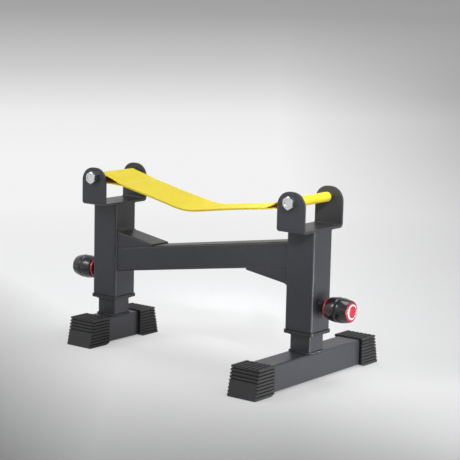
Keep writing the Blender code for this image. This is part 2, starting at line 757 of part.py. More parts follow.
def make_strap_washer(side, zinc):
    start = BRACKET_SPREAD / 2 + SEAT_GAP
    end = start + WASHER_THICKNESS
    bore = BOLT_DIAMETER / 2 + SEAT_GAP
    rim = WASHER_DIAMETER / 2
    edge = WASHER_EDGE
    profile = [(start, bore), (start, rim - edge), (start + edge, rim), (end - edge, rim),
               (end, rim - edge), (end, bore)]
    name = SIDE_NAMES[side] + "_strap_washer"
    mesh = turn(profile, BOLT_SEGMENTS, closed=True, axis="Y")
    add_object(name, mesh, zinc, (post_x(side), 0, BOLT_HEIGHT), smooth_angle=30)


def strap_path():
    """Middle of the doubled webbing in XZ: two straight legs and a wide round saddle."""
    left_x = post_x(LEFT) + STRAP_EYE_REACH
    right_x = post_x(RIGHT) - STRAP_EYE_REACH
    left_z = BOLT_HEIGHT - STRAP_LEFT_SEAM_DROP
    right_z = BOLT_HEIGHT - STRAP_RIGHT_SEAM_DROP
    left_angle = math.atan2(STRAP_LOW_Z - left_z, STRAP_LOW_X - left_x)
    right_angle = math.atan2(right_z - STRAP_LOW_Z, right_x - STRAP_LOW_X)
    half_turn = (right_angle - left_angle) / 2
    run = STRAP_SADDLE_RADIUS * math.tan(half_turn)
    start = Vector((STRAP_LOW_X - run * math.cos(left_angle), STRAP_LOW_Z - run * math.sin(left_angle)))
    centre = start + STRAP_SADDLE_RADIUS * Vector((-math.sin(left_angle), math.cos(left_angle)))
    path = [(left_x, left_z, left_angle)]
    steps = 2 * BEND_STEPS
    for step in range(steps + 1):
        angle = left_angle + (right_angle - left_angle) * step / steps
        x = centre.x + STRAP_SADDLE_RADIUS * math.sin(angle)
        z = centre.y - STRAP_SADDLE_RADIUS * math.cos(angle)
        path.append((x, z, angle))
    path.append((right_x, right_z, right_angle))
    return path


def tangent_angle(centre, radius, point, turn_sign):
    """Angle on a circle where a line from an outside point touches it."""
    away = Vector(point) - Vector(centre)
    return math.atan2(away.y, away.x) + turn_sign * math.acos(radius / away.length)


def eye_arc(side, radius, upper_point, lower_point):
    """Arc round a bolt, on the side away from the strap, between two tangent lines."""
    centre = (post_x(side), BOLT_HEIGHT)
    upper = tangent_angle(centre, radius, upper_point, -side)
    lower = tangent_angle(centre, radius, lower_point, side)
    if side == LEFT:
        first, last = upper, lower
    else:
        first, last = lower, upper
    while last < first:
        last += 2 * math.pi
    steps = 4 * BEND_STEPS
    arc = []
    for step in range(steps + 1):
        angle = first + (last - first) * step / steps
        arc.append((centre[0] + radius * math.cos(angle), centre[1] + radius * math.sin(angle)))
    return arc


def strap_outline():
    path = strap_path()
    upper = [(x - STRAP_LAYER * math.sin(angle), z + STRAP_LAYER * math.cos(angle)) for x, z, angle in path]
    lower = [(x + STRAP_LAYER * math.sin(angle), z - STRAP_LAYER * math.cos(angle)) for x, z, angle in path]
    radius = BOLT_DIAMETER / 2 + STRAP_EYE_GAP + STRAP_LAYER
    left_eye = eye_arc(LEFT, radius, upper[0], lower[0])
    right_eye = eye_arc(RIGHT, radius, upper[-1], lower[-1])
    return left_eye + lower + right_eye + upper[::-1]


def strap_eye_hole(side):
    seam = strap_path()[0 if side == LEFT else -1][:2]
    radius = BOLT_DIAMETER / 2 + STRAP_EYE_GAP
    return extrude_outline(eye_arc(side, radius, seam, seam) + [seam], STRAP_WIDTH + 2 * CUT_BEYOND)


def make_strap(webbing):
    strap = add_object("lifting_strap", extrude_outline(strap_outline(), STRAP_WIDTH), webbing)
    cut(strap, join_meshes([strap_eye_hole(LEFT), strap_eye_hole(RIGHT)]))


# Spring plungers. Each is drawn along its own axis, pointing out of the post.

def pin_nose():
    return LEG_WIDTH / 2 + PIN_PARKED_GAP


def chamber_start():
    return PLUNGER_FACE - POST_WALL + BARREL_SHOULDER


def chamber_end():
    return PLUNGER_FACE + BARREL_REACH - BARREL_END_WALL


def collar_start():
    """The collar meets the barrel's shoulder when the pin is fully in, and is parked a travel out."""
    return chamber_start() + SEAT_GAP + PLUNGER_TRAVEL


def facing(mesh, side):
    """Turn a piece that is drawn pointing along +X so that it points out of its own post."""
    if side == LEFT:
        bmesh.ops.scale(mesh, verts=mesh.verts, vec=(-1, 1, 1))
        bmesh.ops.recalc_face_normals(mesh, faces=mesh.faces)
    return mesh


def make_weld_nut(side, paint):
    start = PLUNGER_FACE + SEAT_GAP
    end = PLUNGER_FACE + WELD_NUT_THICKNESS
    bore = BARREL_DIAMETER / 2 + SEAT_GAP
    face = hexagon_face(WELD_NUT_FLATS)
    chamfer = hexagon_chamfer(WELD_NUT_FLATS)
    profile = [
        (start, bore),
        (start, hexagon(WELD_NUT_FLATS)),
        (end - chamfer, hexagon(WELD_NUT_FLATS)),
        (end, face),
        (end, bore),
    ]
    mesh = facing(turn(profile, BOLT_SEGMENTS, closed=True), side)
    name = SIDE_NAMES[side] + "_weld_nut"
    add_object(name, mesh, paint, (post_x(side), 0, PLUNGER_HEIGHT), smooth_angle=30)


def make_plunger_barrel(side, steel):
    start = PLUNGER_FACE - POST_WALL
    end = PLUNGER_FACE + BARREL_REACH
    rim = BARREL_DIAMETER / 2
    bore = PIN_DIAMETER / 2 + RUNNING_GAP
    chamber = CHAMBER_DIAMETER / 2
    edge = BARREL_EDGE
    profile = [
        (start, bore), (start, rim), (end - edge, rim), (end, rim - edge), (end, bore),
        (chamber_end(), bore), (chamber_end(), chamber), (chamber_start(), chamber), (chamber_start(), bore),
    ]
    mesh = facing(turn(profile, closed=True), side)
    name = SIDE_NAMES[side] + "_plunger_barrel"
    add_object(name, mesh, steel, (post_x(side), 0, PLUNGER_HEIGHT), smooth_angle=30)


def make_plunger_spring(side, steel):
    """Compression spring between the collar and the end of the barrel, drawn fully pressed."""
    start = collar_start() + COLLAR_THICKNESS + SEAT_GAP + SPRING_WIRE / 2
    end = chamber_end() - SEAT_GAP - SPRING_WIRE / 2
    steps = SPRING_TURNS * SPRING_STEPS_PER_TURN
    rings = []
    for step in range(steps + 1):
        angle = 2 * math.pi * step / SPRING_STEPS_PER_TURN
        along = start + (end - start) * step / steps
        outward = Vector((0, math.cos(angle), math.sin(angle)))
        middle = Vector((along, 0, 0)) + outward * SPRING_DIAMETER / 2
        ring = []
        for index in range(WIRE_SIDES):
            round_angle = 2 * math.pi * index / WIRE_SIDES
            across = outward * math.cos(round_angle) + Vector((1, 0, 0)) * math.sin(round_angle)
            ring.append(middle + across * SPRING_WIRE / 2)
        rings.append(ring)
    mesh = facing(loft(rings), side)
    name = SIDE_NAMES[side] + "_plunger_spring"
    add_object(name, mesh, steel, (post_x(side), 0, PLUNGER_HEIGHT), smooth_angle=60)


def make_plunger_pin(side, steel, slide):
    nose = pin_nose()
    radius = PIN_DIAMETER / 2
    collar = COLLAR_DIAMETER / 2
    start = collar_start()
    end = KNOB_SEAT + KNOB_SOCKET_DEPTH - SEAT_GAP
    profile = [
        (nose, radius - PIN_NOSE_CHAMFER), (nose + PIN_NOSE_CHAMFER, radius),
        (start, radius), (start, collar),
        (start + COLLAR_THICKNESS, collar), (start + COLLAR_THICKNESS, radius),
        (end - PIN_NOSE_CHAMFER, radius), (end, radius - PIN_NOSE_CHAMFER),
    ]
    mesh = facing(turn(profile, BOLT_SEGMENTS), side)
    add_object(SIDE_NAMES[side] + "_plunger_pin", mesh, steel, parent=slide, smooth_angle=30)


def grip_length():
    """Length of the knob without the part of its end disc that stands proud."""
    return KNOB_LENGTH - DISC_PROUD


def knob_radius(along):
    """Barrel shape: a smooth swell from the neck to the widest point and down to the end."""
    neck = KNOB_NECK_DIAMETER / 2
    widest = KNOB_DIAMETER / 2
    end = KNOB_END_DIAMETER / 2
    if along < KNOB_WIDEST_AT:
        share = 1 - along / KNOB_WIDEST_AT
        return widest - (widest - neck) * share ** 2
    share = (along - KNOB_WIDEST_AT) / (grip_length() - KNOB_WIDEST_AT)
    return widest - (widest - end) * share ** 2


def make_knob_grip(side, plastic, hub):
    face = PLUNGER_FACE + KNOB_START
    front = RING_LENGTH + SEAT_GAP
    mouth_floor = KNOB_SEAT - face
    last = grip_length()
    pin_bore = PIN_DIAMETER / 2 + SEAT_GAP
    mouth = BARREL_DIAMETER / 2 + KNOB_MOUTH_CLEARANCE
    groove = KNOB_WIDEST_AT + KNOB_GROOVE_WIDTH
    groove_end = groove + KNOB_GROOVE_WIDTH
    groove_slope = KNOB_GROOVE_WIDTH / 4
    rim = knob_radius(last) - KNOB_RIM

    profile = [(mouth_floor + KNOB_SOCKET_DEPTH, pin_bore), (mouth_floor, pin_bore)]
    profile += [(mouth_floor, mouth), (front, mouth), (front, knob_radius(front) - KNOB_EDGE)]
    for step in range(KNOB_STEPS + 1):
        along = front + KNOB_EDGE + (groove - front - KNOB_EDGE) * step / KNOB_STEPS
        profile.append((along, knob_radius(along)))
    for along in (groove + groove_slope, groove_end - groove_slope):
        profile.append((along, knob_radius(along) - KNOB_GROOVE_DEPTH))
    for step in range(KNOB_STEPS + 1):
        along = groove_end + (last - groove_end) * step / KNOB_STEPS
        profile.append((along, knob_radius(along)))
    profile += [(last, rim), (last - DISC_RECESS, rim)]
    mesh = turn(profile)
    bmesh.ops.translate(mesh, verts=mesh.verts, vec=(face, 0, 0))
    add_object(SIDE_NAMES[side] + "_knob_grip", facing(mesh, side), plastic, parent=hub, smooth_angle=30)


def make_knob_ring(side, plastic, hub):
    face = PLUNGER_FACE + KNOB_START
    rim = KNOB_NECK_DIAMETER / 2
    bore = RING_BORE / 2
    edge = RING_EDGE
    profile = [
        (face, bore + edge), (face, rim - edge), (face + edge / 2, rim - edge / 4),
        (face + RING_LENGTH, rim), (face + RING_LENGTH, bore), (face + edge, bore),
    ]
    mesh = facing(turn(profile, closed=True), side)
    add_object(SIDE_NAMES[side] + "_knob_ring", mesh, plastic, parent=hub, smooth_angle=30)


def make_knob_disc(side, plastic, hub):
    """Domed end cap that is pressed into the recess at the end of the grip."""
    last = grip_length()
    rim = knob_radius(last) - KNOB_RIM - SEAT_GAP
    dome_start = last + DISC_PROUD - DISC_DOME
    profile = [(last - DISC_RECESS + SEAT_GAP, rim)]
    for step in range(DOME_STEPS + 1):
        radius = rim + (DISC_FLAT - rim) * step / DOME_STEPS
        profile.append((dome_start + DISC_DOME * (1 - (radius / rim) ** 2), radius))
    mesh = turn(profile)
    bmesh.ops.translate(mesh, verts=mesh.verts, vec=(PLUNGER_FACE + KNOB_START, 0, 0))
    add_object(SIDE_NAMES[side] + "_knob_disc", facing(mesh, side), plastic, parent=hub, smooth_angle=30)


def main():
    clear_scene()
    paint = make_material("slate_powder_coat", (0.055, 0.057, 0.064), 0.42, 0.0)
    rubber = make_material("black_rubber", (0.028, 0.029, 0.030), 0.75, 0.0)
    sleeve_plastic = make_material("black_nylon", (0.030, 0.031, 0.033), 0.5, 0.0)
    webbing = make_material("yellow_webbing", (0.90, 0.58, 0.03), 0.8, 0.0)
    zinc = make_material("zinc_plate", (0.72, 0.73, 0.74), 0.3, 1.0)
    steel = make_material("blackened_steel", (0.05, 0.05, 0.055), 0.4, 1.0)
    gloss_black = make_material("gloss_black_plastic", (0.012, 0.012, 0.013), 0.16, 0.0)
    red = make_material("red_plastic", (0.55, 0.02, 0.045), 0.3, 0.0)

    for side in (LEFT, RIGHT):
        label = SIDE_NAMES[side]
        leg_slide = add_empty(label + "_leg_slide", (post_x(side), 0, 0))
        plunger_slide = add_empty(label + "_plunger_slide", (post_x(side), 0, PLUNGER_HEIGHT))
        knob_hub = add_empty(label + "_knob_hub", (0, 0, 0), plunger_slide)
        make_upright_tube(side, paint)
        make_gusset(side, paint)
        make_guide_sleeve(side, sleeve_plastic)
        make_bracket(side, paint)
        make_strap_bolt(side, zinc)
        make_strap_washer(side, zinc)
        make_strap_nut(side, zinc)
        make_weld_nut(side, paint)
        make_plunger_barrel(side, steel)
        make_plunger_spring(side, zinc)
        make_leg_tube(side, paint, leg_slide)
        make_leg_glide(side, sleeve_plastic, leg_slide)
        make_foot_tube(side, paint, leg_slide)
        make_foot_cap(side, -1, rubber, leg_slide)
        make_foot_cap(side, 1, rubber, leg_slide)
        make_plunger_pin(side, zinc, plunger_slide)
        make_knob_grip(side, gloss_black, knob_hub)
        make_knob_ring(side, red, knob_hub)
        make_knob_disc(side, red, knob_hub)
    make_crossbar(paint)
    make_strap(webbing)
    bpy.context.view_layer.update()


main()
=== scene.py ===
# %% [markdown]
# A barbell jack, modelled round its CAD frame.
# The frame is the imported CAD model: it is loaded first and nothing in it is moved or reshaped.
# Every piece that shows gets a finer mesh at the same place and size, and stands for its CAD node.
# Lengths are in metres. +X runs along the crossbar, the feet run along Y, and +Z is up.

# %% Load the frame
import math
from bisect import bisect_right
from contextlib import contextmanager

import bpy
from mathutils import Matrix, Vector


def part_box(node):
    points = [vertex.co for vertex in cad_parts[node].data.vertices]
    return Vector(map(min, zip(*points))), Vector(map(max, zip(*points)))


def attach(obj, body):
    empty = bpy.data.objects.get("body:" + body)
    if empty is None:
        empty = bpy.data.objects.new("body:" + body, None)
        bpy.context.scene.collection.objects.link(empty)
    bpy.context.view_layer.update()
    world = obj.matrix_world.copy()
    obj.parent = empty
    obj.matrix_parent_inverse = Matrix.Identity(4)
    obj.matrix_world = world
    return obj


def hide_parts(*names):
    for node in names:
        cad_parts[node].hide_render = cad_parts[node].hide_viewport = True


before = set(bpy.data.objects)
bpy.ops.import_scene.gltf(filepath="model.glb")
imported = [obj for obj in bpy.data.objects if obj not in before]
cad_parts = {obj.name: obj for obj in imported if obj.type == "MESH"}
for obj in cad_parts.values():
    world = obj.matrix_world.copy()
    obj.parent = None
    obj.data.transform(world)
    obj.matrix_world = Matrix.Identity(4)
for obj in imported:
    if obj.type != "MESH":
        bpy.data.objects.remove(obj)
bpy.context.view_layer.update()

MM = 0.001
SIDES = {"left": -1, "right": 1}
print("CAD nodes:", len(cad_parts))

# %% [markdown]
# Blender's operators act on all that is selected, and the frame arrives selected.
# So one helper selects a single object, and another goes into edit mode with only
# those vertices, edges or faces selected that pass a test on their place or normal.

# %% Selecting one piece, and parts of it
SELECT_MODES = {
    "VERT": (True, False, False),
    "EDGE": (False, True, False),
    "FACE": (False, False, True),
}


def only(piece):
    """Deselect everything, then select one piece and make it the active one."""
    bpy.ops.object.select_all(action="DESELECT")
    piece.select_set(True)
    bpy.context.view_layer.objects.active = piece


@contextmanager
def picked(piece, kind, test):
    """Edit mode on a piece, with the vertices, edges or faces selected that pass the test."""
    only(piece)
    bpy.context.tool_settings.mesh_select_mode = SELECT_MODES[kind]
    mesh = piece.data
    for group in (mesh.vertices, mesh.edges, mesh.polygons):
        group.foreach_set("select", [False] * len(group))
    if kind == "VERT":
        for vertex in mesh.vertices:
            vertex.select = test(vertex.co)
    elif kind == "EDGE":
        for edge in mesh.edges:
            start, end = (mesh.vertices[index].co for index in edge.vertices)
            edge.select = test(start, end)
    else:
        for face in mesh.polygons:
            face.select = test(face)
    bpy.ops.object.mode_set(mode="EDIT")
    yield
    bpy.ops.object.mode_set(mode="OBJECT")


print("Parts that can be picked:", list(SELECT_MODES))

# %% [markdown]
# The tests say in one word what a workshop drawing would point at: the edges that run along the
# tube, or its two open ends. A little slope is allowed, because the crossbar isn't level.

# %% Tests for edges and faces
MOSTLY = 0.9
X, Y, Z = 0, 1, 2
AXES = {X: Vector((1, 0, 0)), Y: Vector((0, 1, 0)), Z: Vector((0, 0, 1))}


def everything(*_):
    return True


def runs_along(axis):
    """A test for edges that run along an axis, even if they slope a little."""
    def test(start, end):
        return abs((end - start).normalized()[axis]) > MOSTLY
    return test


def faces_along(axis):
    """A test for faces that look along an axis, either way."""
    def test(face):
        return abs(face.normal[axis]) > MOSTLY
    return test


print("Axes:", [tuple(axis) for axis in AXES.values()])

# %% [markdown]
# A few steps come back in every piece. A new shape is selected all over, so everything else is
# deselected before it is added, and its place is then put into its mesh. In edit mode, shapes
# grow by extrusion, and end with their doubled points merged and their faces turned outward.

# %% Steps that every piece shares
MERGE_DISTANCE = 0.01 * MM


def nothing_selected():
    bpy.ops.object.select_all(action="DESELECT")


def settled(name):
    """Name the active object, and put its place, turn and size into its mesh."""
    bpy.ops.object.transform_apply(location=True, rotation=True, scale=True)
    piece = bpy.context.object
    piece.name = name
    piece.data.name = name
    return piece


def pull(way):
    """In edit mode: extrude what is selected, and move it."""
    bpy.ops.mesh.extrude_region_move(TRANSFORM_OT_translate={"value": way})


def clean():
    """In edit mode: merge doubled points, then turn all faces outward."""
    bpy.ops.mesh.select_all(action="SELECT")
    bpy.ops.mesh.remove_doubles(threshold=MERGE_DISTANCE)
    bpy.ops.mesh.normals_make_consistent(inside=False)


print("Points closer than this are merged, in mm:", MERGE_DISTANCE / MM)

# %% [markdown]
# Square steel starts as a box, mostly between the two corners that the CAD node's box gives.
# A hexagon, or a drill that cuts a hole, starts as a prism along X or Y.

# %% Boxes and prisms
def add_box(name, low, high):
    low = Vector(low)
    high = Vector(high)
    nothing_selected()
    bpy.ops.mesh.primitive_cube_add(size=1, location=(low + high) / 2, scale=high - low)
    return settled(name)


def add_prism(name, sides, radius, low, high, centre, axis, turned_by=0.0):
    """A cylinder or a hexagonal prism along X or Y, from low to high on that axis."""
    quarter, about = (math.pi / 2, "Y") if axis == X else (-math.pi / 2, "X")
    turn = Matrix.Rotation(quarter, 3, about) @ Matrix.Rotation(turned_by, 3, "Z")
    middle = Vector(centre)
    middle[axis] = (low + high) / 2
    nothing_selected()
    bpy.ops.mesh.primitive_cylinder_add(
        vertices=sides, radius=radius, depth=high - low, location=middle, rotation=turn.to_euler())
    return settled(name)


print("Starting shapes:", add_box.__name__, "and", add_prism.__name__)

# %% [markdown]
# Whatever is turned, bent or cut from plate starts as a traced line: one vertex that is
# extruded from point to point. It is spun round an axis like work on a lathe, or filled and
# pulled to a solid. A section drawn from real sizes is easier to correct than a bent primitive.

# %% Traced lines
LATHE_STEPS = 72
BORE_STEPS = 64
FINE_STEPS = 96


def trace(name, points, closed=False):
    """A line through the points, drawn by extruding one vertex."""
    nothing_selected()
    bpy.ops.mesh.primitive_plane_add(size=MM, location=points[0])
    piece = settled(name)
    back = points[:1] if closed else []
    with picked(piece, "VERT", everything):
        bpy.ops.mesh.merge(type="CENTER")
        for before, after in zip(points, points[1:] + back):
            pull(after - before)
        clean()
    return piece


def lathe(name, profile, centre, axis, steps=LATHE_STEPS):
    """Spin (along, radius) pairs a full turn round an axis through a centre."""
    across = AXES[X] if axis == Z else AXES[Z]
    points = [Vector(centre) + along * AXES[axis] + radius * across for along, radius in profile]
    piece = trace(name, points)
    with picked(piece, "VERT", everything):
        bpy.ops.mesh.spin(steps=steps, angle=2 * math.pi, center=centre, axis=AXES[axis])
        clean()
    return piece


def plate(name, outline, axis, depth):
    """A closed outline, filled and pulled along an axis to a solid."""
    piece = trace(name, outline, closed=True)
    with picked(piece, "VERT", everything):
        bpy.ops.mesh.edge_face_add()
        pull(depth * AXES[axis])
        clean()
    return piece


def arc(centre, radius, start, end, steps):
    """Points (u, v) along an arc. Angles are in degrees."""
    angles = [math.radians(start + (end - start) * step / steps) for step in range(steps + 1)]
    return [(centre[0] + radius * math.cos(a), centre[1] + radius * math.sin(a)) for a in angles]


print("Steps in a full turn:", LATHE_STEPS, "or in a bore:", BORE_STEPS, "or fine:", FINE_STEPS)

# %% [markdown]
# Modifiers do what a workshop does after the rough shape: a wall, a cut, a weld into one,
# and broken edges. Each is applied at once, so that a finished piece is plain mesh.
# Weighted normals keep the flat faces flat in their reflections, beside narrow round edges.

# %% Finishing operations
SMOOTH_ANGLE = 30


def apply(piece, kind, **settings):
    only(piece)
    modifier = piece.modifiers.new(kind.lower(), kind)
    for key, value in settings.items():
        setattr(modifier, key, value)
    bpy.ops.object.modifier_apply(modifier=modifier.name)
    return piece


def combine(piece, other, operation="DIFFERENCE"):
    """Cut, join or intersect a piece with another one, which is used up."""
    apply(piece, "BOOLEAN", operation=operation, solver="EXACT", object=other)
    bpy.data.objects.remove(other)
    return piece


def give_wall(piece, thickness, offset=-1):
    """Make a sheet thick: inwards, or to both sides with an offset of 0."""
    return apply(piece, "SOLIDIFY", thickness=thickness, offset=offset, use_even_offset=True)


def repeat(piece, count, step):
    return apply(piece, "ARRAY", count=count, use_relative_offset=False,
                 use_constant_offset=True, constant_offset_displace=step)


def round_edges(piece, test, radius, segments):
    """Round the edges that pass a test."""
    with picked(piece, "EDGE", test):
        bpy.ops.mesh.bevel(offset=radius, segments=segments, affect="EDGES")


def smooth(piece, angle=SMOOTH_ANGLE):
    only(piece)
    bpy.ops.object.shade_smooth_by_angle(angle=math.radians(angle))
    return apply(piece, "WEIGHTED_NORMAL", keep_sharp=True)


def soften(piece, width, segments=2, angle=SMOOTH_ANGLE):
    """Round off every edge that is sharper than the angle."""
    apply(piece, "BEVEL", width=width, segments=segments, limit_method="ANGLE",
          angle_limit=math.radians(angle))
    return smooth(piece, angle)


print("Edges sharper than this are kept, in degrees:", SMOOTH_ANGLE)

# %% [markdown]
# A finished piece gets its material and the body that it moves with, and the CAD node that it
# stands for is hidden. The two halves of the jack are alike, so most pieces are made for the
# right side, and the left one is a copy with a mesh of its own.

# %% Placing pieces
def copied(piece, name, shift=(0, 0, 0), turn=0.0):
    """A copy with a mesh of its own, turned about the Z axis and shifted."""
    only(piece)
    bpy.ops.object.duplicate()
    twin = bpy.context.object
    twin.rotation_euler.z = turn
    twin.location = shift
    return settled(name)


def coat(piece, finish):
    piece.data.materials.clear()
    piece.data.materials.append(finish)


def sizes_of(piece):
    return [round(x / MM, 1) for x in piece.dimensions]


def place(piece, body, slot, finish, *nodes):
    """Give a finished piece its material and body, and hide its CAD nodes. The slot is not used.
    """
    coat(piece, finish)
    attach(piece, body)
    if nodes:
        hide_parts(*nodes)
    triangles = sum(len(face.vertices) - 2 for face in piece.data.polygons)
    print(f"{piece.name}: {triangles} triangles, size in mm {sizes_of(piece)}")
    return piece


def left_name(name):
    return name.replace("right", "left", 1)


def place_pair(right, body, slot, finish, node, **move):
    """Copy a right-hand piece to the left, by default turned half round, and place both."""
    left = copied(right, left_name(right.name), **(move or {"turn": math.pi}))
    place(right, body, slot, finish, node)
    place(left, left_name(body), slot, finish, left_name(node))


print("A pair's left name:", left_name("right_upright_tube"))

# %% [markdown]
# Shader maths reads better as sums than as a web of nodes. A small class wraps one output
# socket, and each operator on it adds a Math node to the material that it belongs to.

# %% Sockets that calculate
class Socket:
    def __init__(self, finish, output):
        self.finish = finish
        self.output = output

    def sibling(self, output):
        """Another output of the same node."""
        return Socket(self.finish, self.output.node.outputs[output])

    def math(self, operation, *values):
        return self.finish.node("ShaderNodeMath", {"operation": operation}, values)

    def __abs__(self):
        return self.math("ABSOLUTE", self)

    def __add__(self, other):
        return self.math("ADD", self, other)

    def __radd__(self, other):
        return self.math("ADD", other, self)

    def __sub__(self, other):
        return self.math("SUBTRACT", self, other)

    def __rsub__(self, other):
        return self.math("SUBTRACT", other, self)

    def __mul__(self, other):
        return self.math("MULTIPLY", self, other)

    def __rmul__(self, other):
        return self.math("MULTIPLY", other, self)


print("Sums that add a node:", "plus, minus, times and abs")

# %% [markdown]
# A second class holds one material. Its node method adds any node: the settings go in first,
# then the values or links of its sockets. Sockets that stay the same all over are set straight
# on the shader, when the material is made.

# %% One material's nodes
class NodeWriter:
    """One material, its node tree and its shader."""

    def __init__(self, name, **constants):
        self.material = bpy.data.materials.new(name)
        self.material.use_nodes = True
        self.tree = self.material.node_tree
        self.shader = self.tree.nodes["Principled BSDF"]
        for key, value in constants.items():
            self.shader.inputs[key.replace("_", " ")].default_value = value

    def feed(self, target, value):
        if isinstance(value, Socket):
            self.tree.links.new(value.output, target)
        else:
            target.default_value = value

    def node(self, kind, settings=None, inputs=(), output=0):
        node = self.tree.nodes.new(kind)
        for key, value in (settings or {}).items():
            if key == "stops":
                self.set_stops(node.color_ramp, value)
            else:
                setattr(node, key, value)
        pairs = inputs.items() if isinstance(inputs, dict) else enumerate(inputs)
        for key, value in pairs:
            self.feed(node.inputs[key], value)
        return Socket(self, node.outputs[output])

    def measured(self, operation, *vectors):
        """A number from vectors: a length or a dot product."""
        return self.node("ShaderNodeVectorMath", {"operation": operation}, vectors, output="Value")

    def set_stops(self, ramp, stops):
        for position, grey in stops[2:]:
            ramp.elements.new(position)
        for element, (position, grey) in zip(ramp.elements, stops):
            element.position = position
            element.color = (grey, grey, grey, 1.0)

    def shade(self, **sockets):
        """Feed the shader, and give back the finished material."""
        for key, value in sockets.items():
            self.feed(self.shader.inputs[key.replace("_", " ")], value)
        return self.material


print("Blender", bpy.app.version_string)

# %% [markdown]
# A few patterns come back in nearly every finish: where a point lies, cloudy noise, a range, a
# blend of two colours, and a bump. They are built on the class above, so that a finish reads
# like a recipe.

# %% Patterns that finishes share
class Finish(NodeWriter):
    def place(self, stretch=(1, 1, 1), centre=(0, 0, 0)):
        """Object coordinates in metres, centred on a point and stretched."""
        here = self.node("ShaderNodeTexCoord", output="Object")
        shift = [-a * b for a, b in zip(centre, stretch)]
        inputs = {"Vector": here, "Location": shift, "Scale": stretch}
        return self.node("ShaderNodeMapping", inputs=inputs)

    def noise(self, scale, detail=3.0, stretch=(1, 1, 1)):
        """Cloudy noise. The scale is in clouds per metre."""
        inputs = {"Vector": self.place(stretch), "Scale": scale, "Detail": detail}
        return self.node("ShaderNodeTexNoise", inputs=inputs)

    def spread(self, value, low, high, to_low=0.0, to_high=1.0):
        """Take a value from one range to another, and keep it within that."""
        return self.node("ShaderNodeMapRange", inputs=(value, low, high, to_low, to_high))

    def blend(self, factor, *colours):
        """Mix two colours. In a Mix node these are sockets 6 and 7, and output 2."""
        first, second = (part if isinstance(part, Socket) else (*part, 1.0) for part in colours)
        inputs = {0: factor, 6: first, 7: second}
        return self.node("ShaderNodeMix", {"data_type": "RGBA"}, inputs, output=2)

    def mottle(self, cloud, colour, dark, light):
        """Let a colour go from darker to lighter with a noise."""
        return self.blend(cloud, shaded(colour, dark), shaded(colour, light))

    def bump(self, height, distance, strength=1.0):
        inputs = {"Height": height, "Distance": distance, "Strength": strength}
        return self.node("ShaderNodeBump", inputs=inputs)


def shaded(colour, share):
    """The same colour, made darker or lighter."""
    return tuple(min(1.0, part * share) for part in colour)


print("A grey at half its brightness:", shaded((0.4, 0.4, 0.4), 0.5))

# %% [markdown]
# The frame is powder coated in a satin slate grey. Baked powder flows out to a fine orange
# peel with ripples of one or two millimetres, so the bump is shallow and wide. The colour
# hardly changes, but the gloss does, where hands have rubbed it and where dust has settled.

# %% Powder coat
SLATE = (0.041, 0.042, 0.051)


def make_powder_coat(name, roughness):
    finish = Finish(name, Metallic=0.0, IOR=1.5)
    cloud = finish.noise(14, detail=4)
    peel = finish.noise(620, detail=2)
    grain = finish.noise(2600, detail=1)
    dust = finish.spread(finish.noise(60, detail=6), 0.52, 0.75)
    base = finish.mottle(cloud, SLATE, 0.9, 1.1)
    return finish.shade(
        Base_Color=finish.blend(dust * 0.25, base, shaded(SLATE, 1.7)),
        Roughness=roughness + cloud * 0.1 + dust * 0.08,
        Normal=finish.bump(peel + grain * 0.3, 0.12 * MM, 0.55))


powder_coat = make_powder_coat("slate_powder_coat", 0.32)
thick_coat = make_powder_coat("thick_powder_coat", 0.14)
print("Made", powder_coat.name, "and", thick_coat.name)

# %% [markdown]
# The feet end in moulded rubber, which is the most matt surface here. Its colour is a little
# uneven, and it has the fine grain of a spark-eroded mould. Shade is painted into the caps'
# grooves and mouths, which turn near black: the caps carry their depth under the skin as an
# attribute for that. The sleeve and the glide are black nylon: harder, and with a soft gloss.

# %% Rubber and nylon
RUBBER = (0.031, 0.031, 0.033)
NYLON = (0.026, 0.027, 0.029)
GROOVE_SHADE_ATTRIBUTE = "hollow"


def make_moulded(name, colour, roughness, grain_size, shaded_grooves=False):
    finish = Finish(name, Metallic=0.0, IOR=1.5)
    cloud = finish.noise(35, detail=5)
    grain = finish.noise(1 / grain_size, detail=2)
    base = finish.mottle(cloud, colour, 0.8, 1.25)
    if shaded_grooves:
        # Painted shade: the deeper a point lies under the skin, the nearer black it is painted.
        hollow = finish.node("ShaderNodeAttribute", {"attribute_name": GROOVE_SHADE_ATTRIBUTE}, output="Fac")
        base = finish.blend(finish.spread(hollow, 0.1, 0.9), base, shaded(colour, 0.15))
    return finish.shade(
        Base_Color=base,
        Roughness=roughness - 0.06 + cloud * 0.12,
        Normal=finish.bump(grain, 0.08 * MM, 0.5))


rubber = make_moulded("black_rubber", RUBBER, 0.66, 0.7 * MM, shaded_grooves=True)
nylon = make_moulded("black_nylon", NYLON, 0.42, 1.1 * MM)
print("Made", rubber.name, "and", nylon.name)

# %% [markdown]
# Bolts, nuts and washers are bright zinc plate. Zinc keeps the marks of the die under it, so
# the gloss is broken by fine streaks and small pits. The plunger's barrel is blackened steel.

# %% Plated and blackened steel
def make_metal(name, colour, roughness, pits):
    finish = Finish(name, Metallic=1.0)
    cloud = finish.noise(90, detail=5)
    streaks = finish.noise(330, detail=3, stretch=(1, 0.5, 1))
    specks = finish.spread(finish.noise(620, detail=2), 0.58, 0.72)
    base = finish.mottle(cloud, colour, 0.9, 1.0)
    return finish.shade(
        Base_Color=finish.blend(specks * pits, base, shaded(colour, 0.45)),
        Roughness=roughness + cloud * 0.1 + specks * 0.15,
        Normal=finish.bump(streaks - specks * 0.6, 0.16 * MM, 0.8))


zinc = make_metal("zinc_plate", (0.78, 0.79, 0.78), 0.18, 0.6)
black_steel = make_metal("blackened_steel", (0.07, 0.07, 0.075), 0.32, 0.3)
print("Made", zinc.name, "and", black_steel.name)

# %% [markdown]
# The knob is gloss black plastic with a red collar and a red end disc. Moulded gloss has a
# clear skin, so a thin coat lies over it, and only fine rub marks change its roughness.
# The disc is duller, and carries a plain white ring, drawn by distance from the knob's axis.

